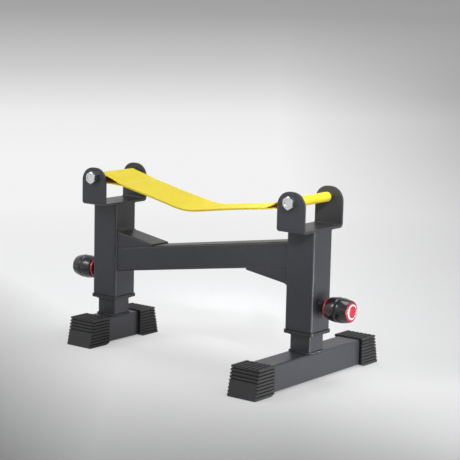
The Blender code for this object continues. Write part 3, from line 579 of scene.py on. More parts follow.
# %% Gloss plastics
plunger_low, plunger_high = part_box("right_plunger_barrel")
PLUNGER_HEIGHT = (plunger_low.z + plunger_high.z) / 2
DISC_RING_RADIUS = 12.6 * MM
DISC_RING_HALF_WIDTH = 1.5 * MM
BLACK = (0.010, 0.010, 0.011)
RED = (0.48, 0.010, 0.033)
WHITE = (0.78, 0.77, 0.75)


def make_gloss(name, colour, roughness, coat=0.35, ringed=False):
    finish = Finish(name, Metallic=0.0, IOR=1.5, Coat_Roughness=0.06, Coat_Weight=coat)
    rub = finish.noise(160, detail=6)
    marks = finish.spread(rub, 0.55, 0.7)
    base = finish.mottle(rub, colour, 0.85, 1.15)
    if ringed:
        here = finish.place(stretch=(0, 1, 1), centre=(0, 0, PLUNGER_HEIGHT))
        off = abs(finish.measured("LENGTH", here) - DISC_RING_RADIUS)
        ring = 1 - finish.spread(off, DISC_RING_HALF_WIDTH * 0.85, DISC_RING_HALF_WIDTH)
        base = finish.blend(ring, base, WHITE)
    return finish.shade(
        Base_Color=base,
        Roughness=roughness + marks * 0.12,
        Normal=finish.bump(finish.noise(240, detail=1), 0.03 * MM, 0.4))


gloss_black = make_gloss("gloss_black_plastic", BLACK, 0.2)
gloss_red = make_gloss("gloss_red_plastic", RED, 0.28)
disc_red = make_gloss("ringed_red_plastic", RED, 0.45, coat=0.0, ringed=True)
print("Made", gloss_black.name, gloss_red.name, disc_red.name)

# %% [markdown]
# The webbing is woven polyester: fine weft ribs across it, crossed by warp yarns that dive
# under every other rib. The weave follows the cloth, so it reads the strap's own UV map,
# which holds metres: U along the strap and V across it.

# %% Webbing
WEBBING = (0.99, 0.72, 0.018)
WEBBING_RECESS_SHADE = (0.84, 0.46, 0.008)
WEBBING_EDGE_HIGHLIGHT = (0.97, 0.74, 0.06)
WEBBING_SOIL = (0.50, 0.30, 0.02)
WEFT_PITCH = 1.5 * MM
WARP_PITCH = 1.9 * MM
EDGE_HIGHLIGHT_WIDTH = 3.5 * MM
strap_low, strap_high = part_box("lifting_strap")
STRAP_WIDTH = strap_high.y - strap_low.y


def make_webbing():
    finish = Finish("yellow_webbing", Metallic=0.0, IOR=1.45, Sheen_Weight=0.1,
                    Sheen_Roughness=0.5, Subsurface_Weight=0.6, Subsurface_Scale=4 * MM,
                    Subsurface_Radius=(1.0, 0.6, 0.1))
    uv = finish.node("ShaderNodeTexCoord", output="UV")
    along = finish.node("ShaderNodeSeparateXYZ", inputs=(uv,))
    across = along.sibling("Y")

    def wave(value, pitch, phase=0.0):
        return value.math("SINE", value * (2 * math.pi / pitch) + phase)

    column = across.math("FLOOR", across * (1 / WARP_PITCH))
    crossing = wave(along, 2 * WEFT_PITCH, column * math.pi)
    rib = abs(wave(across, 2 * WARP_PITCH))
    weave = crossing * 0.5 + rib * 0.6
    # Painted highlight: a band along both edges of the strap is painted a paler yellow.
    edge = abs(across - STRAP_WIDTH / 2)
    edge_highlight = finish.spread(edge, STRAP_WIDTH / 2 - EDGE_HIGHLIGHT_WIDTH, STRAP_WIDTH / 2 - EDGE_HIGHLIGHT_WIDTH * 0.8)
    soil = finish.spread(finish.noise(38, detail=7), 0.5, 0.8)
    # Painted shade: the weave's hollows turn a darker orange.
    hollow = finish.spread(weave, 0.5, -0.3)
    yarn = finish.mottle(finish.noise(300, detail=2), WEBBING, 0.94, 1.04)
    woven = finish.blend(hollow * 0.35, yarn, WEBBING_RECESS_SHADE)
    edged = finish.blend(edge_highlight * 0.35, woven, WEBBING_EDGE_HIGHLIGHT)
    fuzz = finish.noise(2400, detail=2)
    return finish.shade(
        Base_Color=finish.blend(soil * 0.12, edged, WEBBING_SOIL),
        Roughness=0.62 + hollow * 0.2,
        Normal=finish.bump(weave + fuzz * 0.3, 0.22 * MM, 0.7))


webbing = make_webbing()
print("Made", webbing.name, "for a strap", round(STRAP_WIDTH / MM, 1), "mm wide")

# %% [markdown]
# The sewing thread is twisted, and a little paler than the webbing. A stitch is so small that
# fine noise is enough for the twist: a modelled ply would never be seen.

# %% Sewing thread
THREAD = (0.94, 0.80, 0.30)
THREAD_LIGHT = (0.97, 0.90, 0.52)


def make_thread():
    finish = Finish("yellow_thread", Metallic=0.0, Sheen_Weight=0.2)
    twist = finish.noise(1500, detail=2)
    return finish.shade(
        Base_Color=finish.blend(twist, THREAD, THREAD_LIGHT),
        Roughness=0.5 + twist * 0.15,
        Normal=finish.bump(twist, 0.1 * MM))


thread = make_thread()
print("Made", thread.name)

# %% [markdown]
# Posts, legs and feet are square tube. A box gets its four long edges rounded, loses its two
# ends and is given a wall inwards. That is quicker than a boolean bore, and the corner keeps an
# even wall. The right-hand piece is modelled, and the left one is its copy, turned half round.

# %% Square tubes
POST_CORNER = 5 * MM
POST_WALL = 3 * MM
LEG_CORNER = 4 * MM
LEG_WALL = 2.5 * MM
CUT_EDGE = 0.35 * MM
CORNER_SEGMENTS = 8
HOLE_SIDES = 40


def make_tube(box, axis, corner, wall):
    """Round a box's long edges, take off its ends and give it a wall inwards."""
    round_edges(box, runs_along(axis), corner, CORNER_SEGMENTS)
    with picked(box, "FACE", faces_along(axis)):
        bpy.ops.mesh.delete(type="FACE")
    return give_wall(box, wall)


def square_tube(name, low, high, axis, corner, wall):
    return make_tube(add_box(name, low, high), axis, corner, wall)


def round_hole(tube, radius, height):
    """A hole through the tube's +X wall only."""
    low, high = (Vector(corner) for corner in (tube.bound_box[0], tube.bound_box[6]))
    centre = ((low.x + high.x) / 2, (low.y + high.y) / 2, height)
    drill = add_prism("drill", HOLE_SIDES, radius, centre[0], high.x + POST_WALL, centre, X)
    combine(tube, drill)


print("Walls in mm:", POST_WALL / MM, "for a post,", LEG_WALL / MM, "for a leg")

# %% [markdown]
# The post is 60 mm tube, and stands plumb. The plunger's barrel passes through a round hole in
# its outer wall. A drill that stops in the middle of the tube leaves the inner wall whole.

# %% Posts
BARREL_HOLE_GAP = 0.3 * MM
barrel_radius = (plunger_high.z - plunger_low.z) / 2
right_post = square_tube("right_post", *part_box("right_upright_tube"), Z, POST_CORNER, POST_WALL)
round_hole(right_post, barrel_radius + BARREL_HOLE_GAP, PLUNGER_HEIGHT)
soften(right_post, CUT_EDGE)
place_pair(right_post, "frame", "frame_paint", powder_coat, "right_upright_tube")

# %% [markdown]
# The inner leg is the tube that slides. Its pin holes face the plunger, 25 mm apart, and they
# come into sight when the leg is drawn out. The CAD leg is flared at its foot to stand for
# the weld there. Here the tube stays straight, and a separate bead of weld goes round it.

# %% Legs
PIN_HOLE_RADIUS = 5.5 * MM
HEIGHT_STEP = 25 * MM
PIN_HOLES = 5
LEG_WIDTH = 45 * MM
leg_low, leg_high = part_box("right_leg_tube")
post_x = (leg_low.x + leg_high.x) / 2
leg_half = LEG_WIDTH / 2
leg_start = (post_x - leg_half, -leg_half, leg_low.z)
leg_end = (post_x + leg_half, leg_half, leg_high.z)
right_leg = square_tube("right_leg_post", leg_start, leg_end, Z, LEG_CORNER, LEG_WALL)
for step in range(PIN_HOLES):
    round_hole(right_leg, PIN_HOLE_RADIUS, PLUNGER_HEIGHT + step * HEIGHT_STEP)
soften(right_leg, CUT_EDGE)
place_pair(right_leg, "right_leg", "frame_paint", powder_coat, "right_leg_tube")

# %% [markdown]
# The feet lie flat, and each leg is welded to the middle of its own. The left foot is half as
# long as the right one, so they aren't copies: the same few lines make each to its CAD size.

# %% Feet
FOOT_CORNER = 4 * MM
for side in SIDES:
    foot = square_tube(side + "_foot", *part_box(side + "_foot_tube"), Y, FOOT_CORNER, LEG_WALL)
    soften(foot, CUT_EDGE)
    place(foot, side + "_leg", "frame_paint", powder_coat, side + "_foot_tube")

# %% [markdown]
# The crossbar slopes up from the left post to the right one. It is the same kind of tube, so
# the box comes first, and then its right-hand end is simply lifted. The box is as high as the
# tube where it is cut plumb, and the CAD box is higher than that by the rise.

# %% Crossbar
BAR_HEIGHT = 47.5 * MM
BAR_WALL = 2.5 * MM
RISE_TRIES = 4
bar_low, bar_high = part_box("crossbar")
bar_length = bar_high.x - bar_low.x


def bar_plumb_height(rise):
    return BAR_HEIGHT * math.hypot(1, rise / bar_length)


bar_rise = bar_high.z - bar_low.z - BAR_HEIGHT
for _ in range(RISE_TRIES):
    bar_rise = bar_high.z - bar_low.z - bar_plumb_height(bar_rise)
plumb_height = bar_plumb_height(bar_rise)
bar_slope = bar_rise / bar_length

crossbar = add_box("cross_tube", bar_low, (bar_high.x, bar_high.y, bar_low.z + plumb_height))
with picked(crossbar, "VERT", lambda co: co.x > 0):
    bpy.ops.transform.translate(value=(0, 0, bar_rise))
make_tube(crossbar, X, LEG_CORNER, BAR_WALL)
smooth(crossbar)
place(crossbar, "frame", "frame_paint", powder_coat, "crossbar")
print("Crossbar rise over its length in mm:", round(bar_rise / MM, 1))

# %% [markdown]
# A gusset is a folded channel that stiffens each corner of the frame: above the crossbar at the
# left post, below it at the right post. Its outline follows the post, the slope of the crossbar
# and a back that falls to a blunt tip, with a fillet where the back meets the post.

# %% The gusset's outline
GUSSET_ROOT = 32 * MM
GUSSET_FILLET = 10 * MM
GUSSET_WALL = 2.5 * MM
GUSSET_TIP = 3.1 * MM
GUSSET_EDGE = 2.4 * MM
GUSSET_CUT_EDGE = 0.3 * MM
GUSSET_BEND_STEPS = 10
TIP_WALLS = 1.6
TIP_SHARE = 0.7
BAR_GAP = 0.3 * MM


def gusset_slope(length):
    """How fast the wedge's back falls, and its angle."""
    slope = (GUSSET_ROOT - bar_slope * length - GUSSET_TIP) / length
    return slope, math.atan(slope)


def gusset_outline(length, wall):
    """(out from the post, above the crossbar's face there) round the wedge, inset by a wall."""
    slope, angle = gusset_slope(length)
    centre = (GUSSET_FILLET, GUSSET_ROOT - slope * GUSSET_FILLET + GUSSET_FILLET / math.cos(angle))
    bend = arc(centre, GUSSET_FILLET + wall, 270 - math.degrees(angle), 180, GUSSET_BEND_STEPS)
    last = length - TIP_WALLS * wall
    back = GUSSET_ROOT - slope * last - wall / math.cos(angle)
    drop = BAR_GAP - wall
    return [(-wall, drop), (last, bar_slope * last + drop), (last, back), *bend]


print("Gusset at the post, in mm:", GUSSET_ROOT / MM, "and at its tip:", GUSSET_TIP / MM)

# %% [markdown]
# The outline is pulled to a wedge, whose back gets round edges. A smaller wedge, open towards
# crossbar and post, hollows it out. Both outlines come from one function, a wall's thickness
# apart, which is simpler than bending a sheet round two slopes.

# %% Gussets
def bar_face_at(side):
    """Height at a post of the crossbar's face that carries the gusset."""
    return bar_low.z + plumb_height if side == "left" else bar_high.z - plumb_height


def make_gusset(side):
    low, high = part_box(side + "_gusset")
    out = -SIDES[side]
    post_face = low.x if side == "left" else high.x
    bar_face = bar_face_at(side)

    def wedge(name, wall, half):
        outline = gusset_outline(high.x - low.x, wall)
        points = [Vector((post_face + out * u, -half, bar_face + out * v)) for u, v in outline]
        return plate(name, points, Y, 2 * half)

    def on_back(start, end):
        middle = (start + end) / 2
        reach = abs(middle.x - post_face)
        lift = (middle.z - bar_face) * out
        lengthwise = abs((end - start).y) < MERGE_DISTANCE
        high_up = lift > bar_slope * reach + GUSSET_TIP * TIP_SHARE
        return lengthwise and high_up and reach > MERGE_DISTANCE

    gusset = wedge(side + "_gusset_channel", 0.0, high.y)
    round_edges(gusset, on_back, GUSSET_EDGE, segments=5)
    combine(gusset, wedge("hollow", GUSSET_WALL, high.y - GUSSET_WALL))
    soften(gusset, GUSSET_CUT_EDGE)
    return place(gusset, "frame", "frame_paint", powder_coat, side + "_gusset")


for side in SIDES:
    make_gusset(side)

# %% [markdown]
# Each bracket is one strip of 5 mm plate, bent to a U, with ears rounded almost to a
# half circle. A flat pattern is folded first: a traced U pulled to a sheet. The ears' corners
# are rounded as vertices of that sheet, the thickness follows, and the bolt hole is drilled last.

# %% Strap brackets
BRACKET_PLATE = 5 * MM
BRACKET_BEND = 8 * MM
EAR_FLAT = 6 * MM
BOLT_HOLE_RADIUS = 7.3 * MM
PLATE_EDGE = 0.6 * MM
BEND_STEPS = 8
EAR_SEGMENTS = 20
bolt_low, bolt_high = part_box("right_strap_bolt")
BOLT_HEIGHT = (bolt_low.z + bolt_high.z) / 2


def make_bracket():
    low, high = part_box("right_strap_bracket")
    bends = []
    for centre_y, start in ((low.y + BRACKET_BEND, 180), (high.y - BRACKET_BEND, 270)):
        bends += arc((centre_y, low.z + BRACKET_BEND), BRACKET_BEND, start, start + 90, BEND_STEPS)
    line = [(low.y, high.z), *bends, (high.y, high.z)]
    bracket = trace("right_bracket", [Vector((low.x, y, z)) for y, z in line])
    with picked(bracket, "VERT", everything):
        pull((high.x - low.x, 0, 0))
        clean()
    ear_radius = (high.x - low.x - EAR_FLAT) / 2
    with picked(bracket, "VERT", lambda co: co.z > high.z - MM):
        bpy.ops.mesh.bevel(offset=ear_radius, segments=EAR_SEGMENTS, affect="VERTICES")
    outward = next(face for face in bracket.data.polygons if abs(face.normal.y) > MOSTLY)
    if outward.normal.y * outward.center.y < 0:
        with picked(bracket, "FACE", everything):
            bpy.ops.mesh.flip_normals()
    give_wall(bracket, BRACKET_PLATE)
    middle = ((low.x + high.x) / 2, 0, BOLT_HEIGHT)
    start = low.y - BRACKET_PLATE
    end = high.y + BRACKET_PLATE
    combine(bracket, add_prism("drill", BORE_STEPS, BOLT_HOLE_RADIUS, start, end, middle, Y))
    return soften(bracket, PLATE_EDGE, segments=3)


place_pair(make_bracket(), "frame", "frame_paint", powder_coat, "right_strap_bracket")

# %% [markdown]
# The sleeve keeps the leg from rattling in the post. Only its flange and lip show, as a thin
# black line below the post, but the whole moulding is built, since it shows from below.

# %% Guide sleeves
FLANGE_CORNER = 7.7 * MM
FLANGE_THICKNESS = 6 * MM
LIP_HEIGHT = 3 * MM
LIP_PROUD = 2.4 * MM
SLEEVE_BODY_HALF = 26.7 * MM
SLEEVE_BODY_CORNER = 2 * MM
LEG_CLEARANCE = 0.3 * MM
MOULDED_EDGE = 0.6 * MM


def square_block(name, half, low_z, high_z, corner):
    block = add_box(name, (post_x - half, -half, low_z), (post_x + half, half, high_z))
    round_edges(block, runs_along(Z), corner, segments=6)
    return block


def make_sleeve():
    low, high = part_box("right_guide_sleeve")
    bore = leg_half + LEG_CLEARANCE
    flange_low = low.z + LIP_HEIGHT
    flange_high = flange_low + FLANGE_THICKNESS
    half = (high.x - low.x) / 2
    sleeve = square_block("right_sleeve", half, flange_low, flange_high, FLANGE_CORNER)
    lip = square_block("lip", bore + LIP_PROUD, low.z, flange_low + MM, LEG_CORNER)
    combine(sleeve, lip, "UNION")
    body = square_block("body", SLEEVE_BODY_HALF, flange_high - MM, high.z, SLEEVE_BODY_CORNER)
    combine(sleeve, body, "UNION")
    combine(sleeve, square_block("bore", bore, low.z - MM, high.z + MM, LEG_CORNER))
    return soften(sleeve, MOULDED_EDGE)


place_pair(make_sleeve(), "frame", "nylon", nylon, "right_guide_sleeve")

# %% [markdown]
# The rubber caps catch the eye first: eight ribs wrap the sides and the sloping end, and six
# grooves run along the top. A cap is described as a stack, the way its ribs lie: at each height,
# how far its sides and its end draw in. The end has no ribs below its plain lower panel's top.

# %% The foot cap's levels
CAP_TOP_LENGTH = 46.5 * MM
CAP_EDGE_RADIUS = 2.5 * MM
CAP_SOLE_EDGE = 1.2 * MM
CAP_LIP_HEIGHT = 5.2 * MM
CAP_RIBS = 8
CAP_RIB_DEPTH = 2.0 * MM
CAP_RIB_SLOPE = 1.1 * MM
CAP_GROOVE = 0.7 * MM
CAP_PLAIN_PANEL_TOP = 29 * MM
CAP_TOP_GROOVES = 6
CAP_TOP_GROOVE_DEPTH = 1.8 * MM
CAP_TOP_GROOVE = 3.2 * MM
CAP_END_RIB_SHARE = 0.95
MOUTH_DEPTH = 0.1 * MM
CAP_HEEL_LENGTH = 11 * MM
CAP_HEEL_RISE = 4.2 * MM
CAP_OVERLAP = 40 * MM
CAP_ROUNDING = 0.35 * MM
CAP_SHARP_ANGLE = 28
cap_low, cap_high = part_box("right_foot_cap_rear")
cap_half = (cap_high.x - cap_low.x) / 2
cap_length = cap_high.y - cap_low.y
cap_height = cap_high.z


def cap_levels():
    """(height, side inset, end inset) from the sole's rounded edge up through the ribs."""
    pitch = (cap_height - CAP_LIP_HEIGHT) / CAP_RIBS
    levels = [(CAP_SOLE_EDGE, 0.0, 0.0)]
    for rib in range(CAP_RIBS):
        start = CAP_LIP_HEIGHT + rib * pitch
        in_groove = (CAP_RIB_DEPTH, CAP_RIB_DEPTH if start > CAP_PLAIN_PANEL_TOP else 0.0)
        levels += [(start, 0.0, 0.0),
                   (start + CAP_RIB_SLOPE, *in_groove),
                   (start + CAP_RIB_SLOPE + CAP_GROOVE, *in_groove),
                   (start + 2 * CAP_RIB_SLOPE + CAP_GROOVE, 0.0, 0.0)]
    return levels + [(cap_height, 0.0, 0.0)]


def cap_size(height, side_inset, end_inset):
    """Half width, and length from the mouth, at a level."""
    end = cap_length + (CAP_TOP_LENGTH - cap_length) * height / cap_height
    return cap_half - side_inset, end - end_inset


print("Levels in one cap:", len(cap_levels()))

# %% [markdown]
# The sole's outline is extruded from level to level, and each new outline is scaled about the
# middle of the mouth. That draws in the sides and the end by just as much as the rib or the
# slope needs, and the ribs run round the corners without a seam.

# %% Stack the cap
def make_cap():
    """A cap whose mouth is at y = 0 and which points along +Y, over the middle of a foot."""
    half, length = cap_size(0.0, CAP_SOLE_EDGE, CAP_SOLE_EDGE)
    nothing_selected()
    bpy.ops.mesh.primitive_plane_add(size=1, location=(0, length / 2, 0))
    bpy.ops.transform.resize(value=(2 * half, length, 1))
    cap = settled("foot_cap")
    with picked(cap, "VERT", lambda co: co.y > length / 2):
        bpy.ops.mesh.bevel(offset=CAP_EDGE_RADIUS, segments=5, affect="VERTICES")
    before = (0.0, half, length)
    with picked(cap, "FACE", everything):
        for level in cap_levels():
            half, length = cap_size(*level)
            pull((0, 0, level[0] - before[0]))
            change = (half / before[1], length / before[2], 1)
            bpy.ops.transform.resize(value=change, center_override=(0, 0, 0))
            before = (level[0], half, length)
        clean()
    return cap


cap = make_cap()
print("Stacked cap's size in mm:", sizes_of(cap))

# %% [markdown]
# Three cuts finish the cap: the grooves along its top, the socket that the tube pushes into,
# and a heel lifted off the floor. Then each point's depth under the skin is stored, and the
# rubber's finish paints shade into the grooves and the mouth by it.

# %% Cut the cap
def cut_cap(cap):
    """The grooves along the top, the socket for the tube, and the lifted heel."""
    reach = cap_half + MM
    pitch = 2 * cap_half / (2 * CAP_END_RIB_SHARE + CAP_TOP_GROOVES - 1)
    first = pitch * CAP_END_RIB_SHARE - cap_half
    half = CAP_TOP_GROOVE / 2
    grooves = add_box("grooves", (first - half, -MM, cap_height - CAP_TOP_GROOVE_DEPTH),
                      (first + half, cap_length, cap_height + MM))
    combine(cap, repeat(grooves, CAP_TOP_GROOVES, (pitch, 0, 0)))
    foot_low, foot_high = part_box("right_foot_tube")
    gap = LEG_CLEARANCE
    half = (foot_high.x - foot_low.x) / 2 + gap
    low = (-half, -2 * MM, foot_low.z - gap)
    socket = add_box("socket", low, (half, CAP_OVERLAP, foot_high.z + gap))
    round_edges(socket, runs_along(Y), FOOT_CORNER, segments=4)
    combine(cap, socket)
    slope = CAP_HEEL_RISE / CAP_HEEL_LENGTH
    outline = [(-MM, CAP_HEEL_RISE + MM * slope), (-MM, -MM), (CAP_HEEL_LENGTH + MM / slope, -MM)]
    heel = plate("heel", [Vector((-reach, y, z)) for y, z in outline], X, 2 * reach)
    combine(cap, heel)
    soften(cap, CAP_ROUNDING, angle=CAP_SHARP_ANGLE)


def store_shade_depths(cap):
    """Store how deep each point lies under the cap's skin, as a share of a rib's depth, for
    painted shade.
    """
    attribute = cap.data.attributes.new(GROOVE_SHADE_ATTRIBUTE, "FLOAT", "POINT")
    for vertex, value in zip(cap.data.vertices, attribute.data):
        side, end = cap_size(vertex.co.z, 0.0, 0.0)
        depth = min(side - abs(vertex.co.x), end - vertex.co.y, cap_height - vertex.co.z)
        # Painted shade: the mouth face is stored as deepest, so that it is painted black.
        in_mouth = vertex.co.y < MOUTH_DEPTH
        value.value = 1.0 if in_mouth else min(1.0, max(0.0, depth / CAP_RIB_DEPTH))


cut_cap(cap)
store_shade_depths(cap)
print("Cap size in mm:", sizes_of(cap))

# %% [markdown]
# The same moulding is used four times. A rear cap points along +Y, and a front cap is that
# one turned half round.

# %% Four foot caps
for side, sign in SIDES.items():
    for end, turn in (("front", math.pi), ("rear", 0.0)):
        node = f"{side}_foot_cap_{end}"
        low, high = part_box(node)
        mouth = low.y if end == "rear" else high.y
        piece = copied(cap, f"{side}_{end}_cap", shift=(sign * post_x, mouth, 0), turn=turn)
        place(piece, side + "_leg", "rubber", rubber, node)
bpy.data.objects.remove(cap)

# %% [markdown]
# Hexagons come from a prism. What makes one look like a real bolt head or nut is the chamfer:
# a cone that only takes off the corners, and leaves an arc on each flat. So the prism is
# intersected with a turned blank. The bolt's head is also dished a little, as forged heads
# are. The shank is turned too, with thread where the nut runs.

# %% Bolts
HEAD_FLATS = 22 * MM
HEAD_HEIGHT = 10 * MM
FACE_SHARE = 0.95
DISH_SHARE = 0.72
DISH_DEPTH = 0.8 * MM
SHANK_RADIUS = 7 * MM
THREAD_PITCH = 2 * MM
THREAD_DEPTH = 0.9 * MM
THREAD_TURNS = 11
BOLT_CHAMFER = 1.2 * MM
CHAMFER_SLOPE = math.tan(math.radians(30))
HEX_CORNER = 1 / math.cos(math.pi / 6)
HEX_EDGE = 0.25 * MM
TO_LEFT = Vector((-2 * post_x, 0, 0))


def hex_blank(name, flats, low, high, centre, axis, both_ends=False, turned_by=0.0, dish=0.0):
    """A hexagonal prism with its corners chamfered at the low end, or at both ends."""
    corner = flats / 2 * HEX_CORNER
    prism = add_prism(name, 6, corner, low, high, centre, axis, turned_by)
    face = FACE_SHARE * flats / 2
    wide = corner + MM
    run = (wide - face) * CHAMFER_SLOPE
    rim = face * DISH_SHARE
    far_end = [(high - run, wide), (high, face)] if both_ends else [(high, wide)]
    profile = [(low + dish, 0), (low + dish, rim - dish), (low, rim), (low, face),
               (low + run, wide), *far_end, (high, 0)]
    middle = Vector(centre)
    middle[axis] = 0
    return combine(prism, lathe("cone", profile, middle, axis, FINE_STEPS), "INTERSECT")


def make_bolt():
    centre = ((bolt_low.x + bolt_high.x) / 2, 0, BOLT_HEIGHT)
    seat = bolt_low.y + HEAD_HEIGHT
    head = hex_blank("right_bolt", HEAD_FLATS, bolt_low.y, seat, centre, Y, dish=DISH_DEPTH)
    end = bolt_high.y
    thread_start = end - BOLT_CHAMFER - THREAD_TURNS * THREAD_PITCH
    profile = [(seat - MM, 0), (seat - MM, SHANK_RADIUS), (thread_start, SHANK_RADIUS)]
    for turn in range(THREAD_TURNS):
        root = thread_start + (turn + 0.5) * THREAD_PITCH
        profile += [(root, SHANK_RADIUS - THREAD_DEPTH), (root + THREAD_PITCH / 2, SHANK_RADIUS)]
    profile += [(end, SHANK_RADIUS - BOLT_CHAMFER), (end, 0)]
    combine(head, lathe("shank", profile, centre, Y, BORE_STEPS), "UNION")
    return soften(head, HEX_EDGE)


place_pair(make_bolt(), "frame", "zinc", zinc, "right_strap_bolt", shift=TO_LEFT)

# %% [markdown]
# The far end of each bolt carries a washer and a nut. The washer's section is traced and turned.
# The nut is a hexagon chamfered at both ends, and its bore is countersunk from both sides.

# %% Washers and nuts
WASHER_EDGE = 0.4 * MM
BORE_GAP = 0.3 * MM


def make_washer():
    low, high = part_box("right_strap_washer")
    rim = (high.x - low.x) / 2
    edge = rim - WASHER_EDGE
    bore = SHANK_RADIUS + BORE_GAP
    profile = [(low.y, bore), (low.y, edge), (low.y + WASHER_EDGE, rim),
               (high.y - WASHER_EDGE, rim), (high.y, edge), (high.y, bore), (low.y, bore)]
    return smooth(lathe("right_washer", profile, (post_x, 0, BOLT_HEIGHT), Y))


def make_nut():
    low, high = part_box("right_strap_nut")
    centre = (post_x, 0, BOLT_HEIGHT)
    nut = hex_blank("right_nut", HEAD_FLATS, low.y, high.y, centre, Y, both_ends=True)
    bore = SHANK_RADIUS + BORE_GAP
    countersink = bore + MM
    profile = [(low.y - MM, 0), (low.y - MM, countersink + MM), (low.y + MM, bore),
               (high.y - MM, bore), (high.y + MM, countersink + MM), (high.y + MM, 0)]
    combine(nut, lathe("bore", profile, centre, Y, BORE_STEPS))
    return soften(nut, HEX_EDGE)


place_pair(make_washer(), "frame", "zinc", zinc, "right_strap_washer", shift=TO_LEFT)
place_pair(make_nut(), "frame", "zinc", zinc, "right_strap_nut", shift=TO_LEFT)

# %% [markdown]
# The plunger screws into a nut that is welded to the post and painted with it. Its barrel is
# turned steel. Both are hidden but for a few millimetres between the post and the red collar.

# %% Weld nuts and plunger barrels
PIN_BORE = 5.4 * MM
BARREL_EDGE = 0.8 * MM
BOSS_EDGE = 0.4 * MM
axis_point = (0, 0, PLUNGER_HEIGHT)


def make_weld_nut():
    """The left one, which has its chamfered end outside. The right one is its copy."""
    low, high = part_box("right_weld_nut")
    flats = high.y - low.y
    start, end = -high.x, -low.x
    nut = hex_blank("left_boss", flats, start, end, axis_point, X, turned_by=math.pi / 6)
    radius = barrel_radius + BORE_GAP
    combine(nut, add_prism("bore", BORE_STEPS, radius, start - MM, end + MM, axis_point, X))
    return soften(nut, BOSS_EDGE)


def make_barrel():
    low, high = plunger_low, plunger_high
    profile = [(low.x, PIN_BORE), (low.x, barrel_radius), (high.x - BARREL_EDGE, barrel_radius),
               (high.x, barrel_radius - BARREL_EDGE), (high.x, PIN_BORE), (low.x, PIN_BORE)]
    return smooth(lathe("right_barrel", profile, axis_point, X))


left_boss = make_weld_nut()
right_boss = copied(left_boss, "right_boss", turn=math.pi)
place(right_boss, "frame", "frame_paint", thick_coat, "right_weld_nut")
place(left_boss, "frame", "frame_paint", thick_coat, "left_weld_nut")
place_pair(make_barrel(), "frame", "black_steel", black_steel, "right_plunger_barrel")

# %% [markdown]
# The knob is a turned barrel shape. It swells from the neck to its widest point, where a round
# groove runs round it, and falls to the rim that holds the red disc. Two parabolas give the
# swell. A lamp shows in it as two short streaks, one on each shoulder of the groove, so the
# profile has to be smooth enough to carry them.

# %% The knob's swell
KNOB_NECK_RADIUS = 18.6 * MM
KNOB_WIDEST_RADIUS = 23.4 * MM
KNOB_END_RADIUS = 19.3 * MM
KNOB_WIDEST_AT = 26 * MM
KNOB_EDGE = 0.9 * MM
KNOB_RIM = 1.1 * MM
GROOVE_AT = KNOB_WIDEST_AT + 2 * MM
GROOVE_HALF_WIDTH = 1.5 * MM
GROOVE_DEPTH = 1.5 * MM
GROOVE_POWER = 1.4
SWELL_STEPS = 84
grip_low, grip_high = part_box("right_knob_grip")
ring_low, ring_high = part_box("right_knob_ring")
disc_low, disc_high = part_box("right_knob_disc")
knob_face = ring_low.x
grip_length = grip_high.x - knob_face


def knob_radius(along):
    """Radius of the barrel shape, less the groove with its round shoulders."""
    if along < KNOB_WIDEST_AT:
        share = 1 - along / KNOB_WIDEST_AT
        fall = (KNOB_WIDEST_RADIUS - KNOB_NECK_RADIUS) * share ** 2
    else:
        share = (along - KNOB_WIDEST_AT) / (grip_length - KNOB_WIDEST_AT)
        fall = (KNOB_WIDEST_RADIUS - KNOB_END_RADIUS) * share ** 2
    off = abs((along - GROOVE_AT) / GROOVE_HALF_WIDTH)
    groove = GROOVE_DEPTH * math.exp(-off ** GROOVE_POWER)
    return KNOB_WIDEST_RADIUS - fall - groove


def swell(start, end):
    """Points along the barrel shape."""
    stops = [start + (end - start) * step / SWELL_STEPS for step in range(SWELL_STEPS + 1)]
    return [(along, knob_radius(along)) for along in stops]


print("Radius at the neck and at the rim, in mm:",
      [round(knob_radius(along) / MM, 1) for along in (0, grip_length)])

# %% [markdown]
# The grip is turned in one go. Its profile starts in the blind socket for the pin, comes out
# through the mouth that goes over the barrel, follows the swell and ends in the disc's recess.

# %% Knob grips
KNOB_SHARP_ANGLE = 40
MOUTH_RADIUS = 12 * MM
DISC_RECESS = 2.2 * MM
SOCKET_DEPTH = 24 * MM
PIN_SOCKET_RADIUS = 5.3 * MM
mouth_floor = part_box("right_plunger_pin")[1].x - SOCKET_DEPTH - knob_face + BORE_GAP


def turn_knob_part(name, profile):
    """Turn a profile that is measured from the collar's face."""
    return lathe(name, profile, (knob_face, 0, PLUNGER_HEIGHT), X, FINE_STEPS)


def make_grip():
    front = grip_low.x - knob_face
    last = grip_length
    rim = KNOB_END_RADIUS - KNOB_RIM
    neck = knob_radius(front)
    floor = mouth_floor + SOCKET_DEPTH
    half_rim = KNOB_RIM / 2
    profile = [(floor, 0), (floor, PIN_SOCKET_RADIUS), (mouth_floor, PIN_SOCKET_RADIUS),
               (mouth_floor, MOUTH_RADIUS), (front, MOUTH_RADIUS)]
    edge = arc((KNOB_EDGE, 0), KNOB_EDGE, 180, 100, 4)
    profile += [(front + u, neck - KNOB_EDGE + v) for u, v in edge]
    profile += swell(front + 1.1 * KNOB_EDGE, last - KNOB_RIM)
    profile += arc((last - half_rim, KNOB_END_RADIUS - half_rim), half_rim, 60, -60, 4)
    profile += [(last - KNOB_RIM, rim), (last - DISC_RECESS, rim), (last - DISC_RECESS, 0)]
    return smooth(turn_knob_part("right_grip", profile), KNOB_SHARP_ANGLE)


place_pair(make_grip(), "right_knob", "gloss_black", gloss_black, "right_knob_grip")

# %% [markdown]
# A red collar stands between the post and the grip, and a red disc closes the grip's end. Both
# turn with it.

# %% Collars and end discs
RING_BORE_RADIUS = 14.5 * MM
RING_EDGE = 1.0 * MM
DISC_EDGE = 0.5 * MM
DISC_DOME = 4.0 * MM
DOME_STEPS = 24


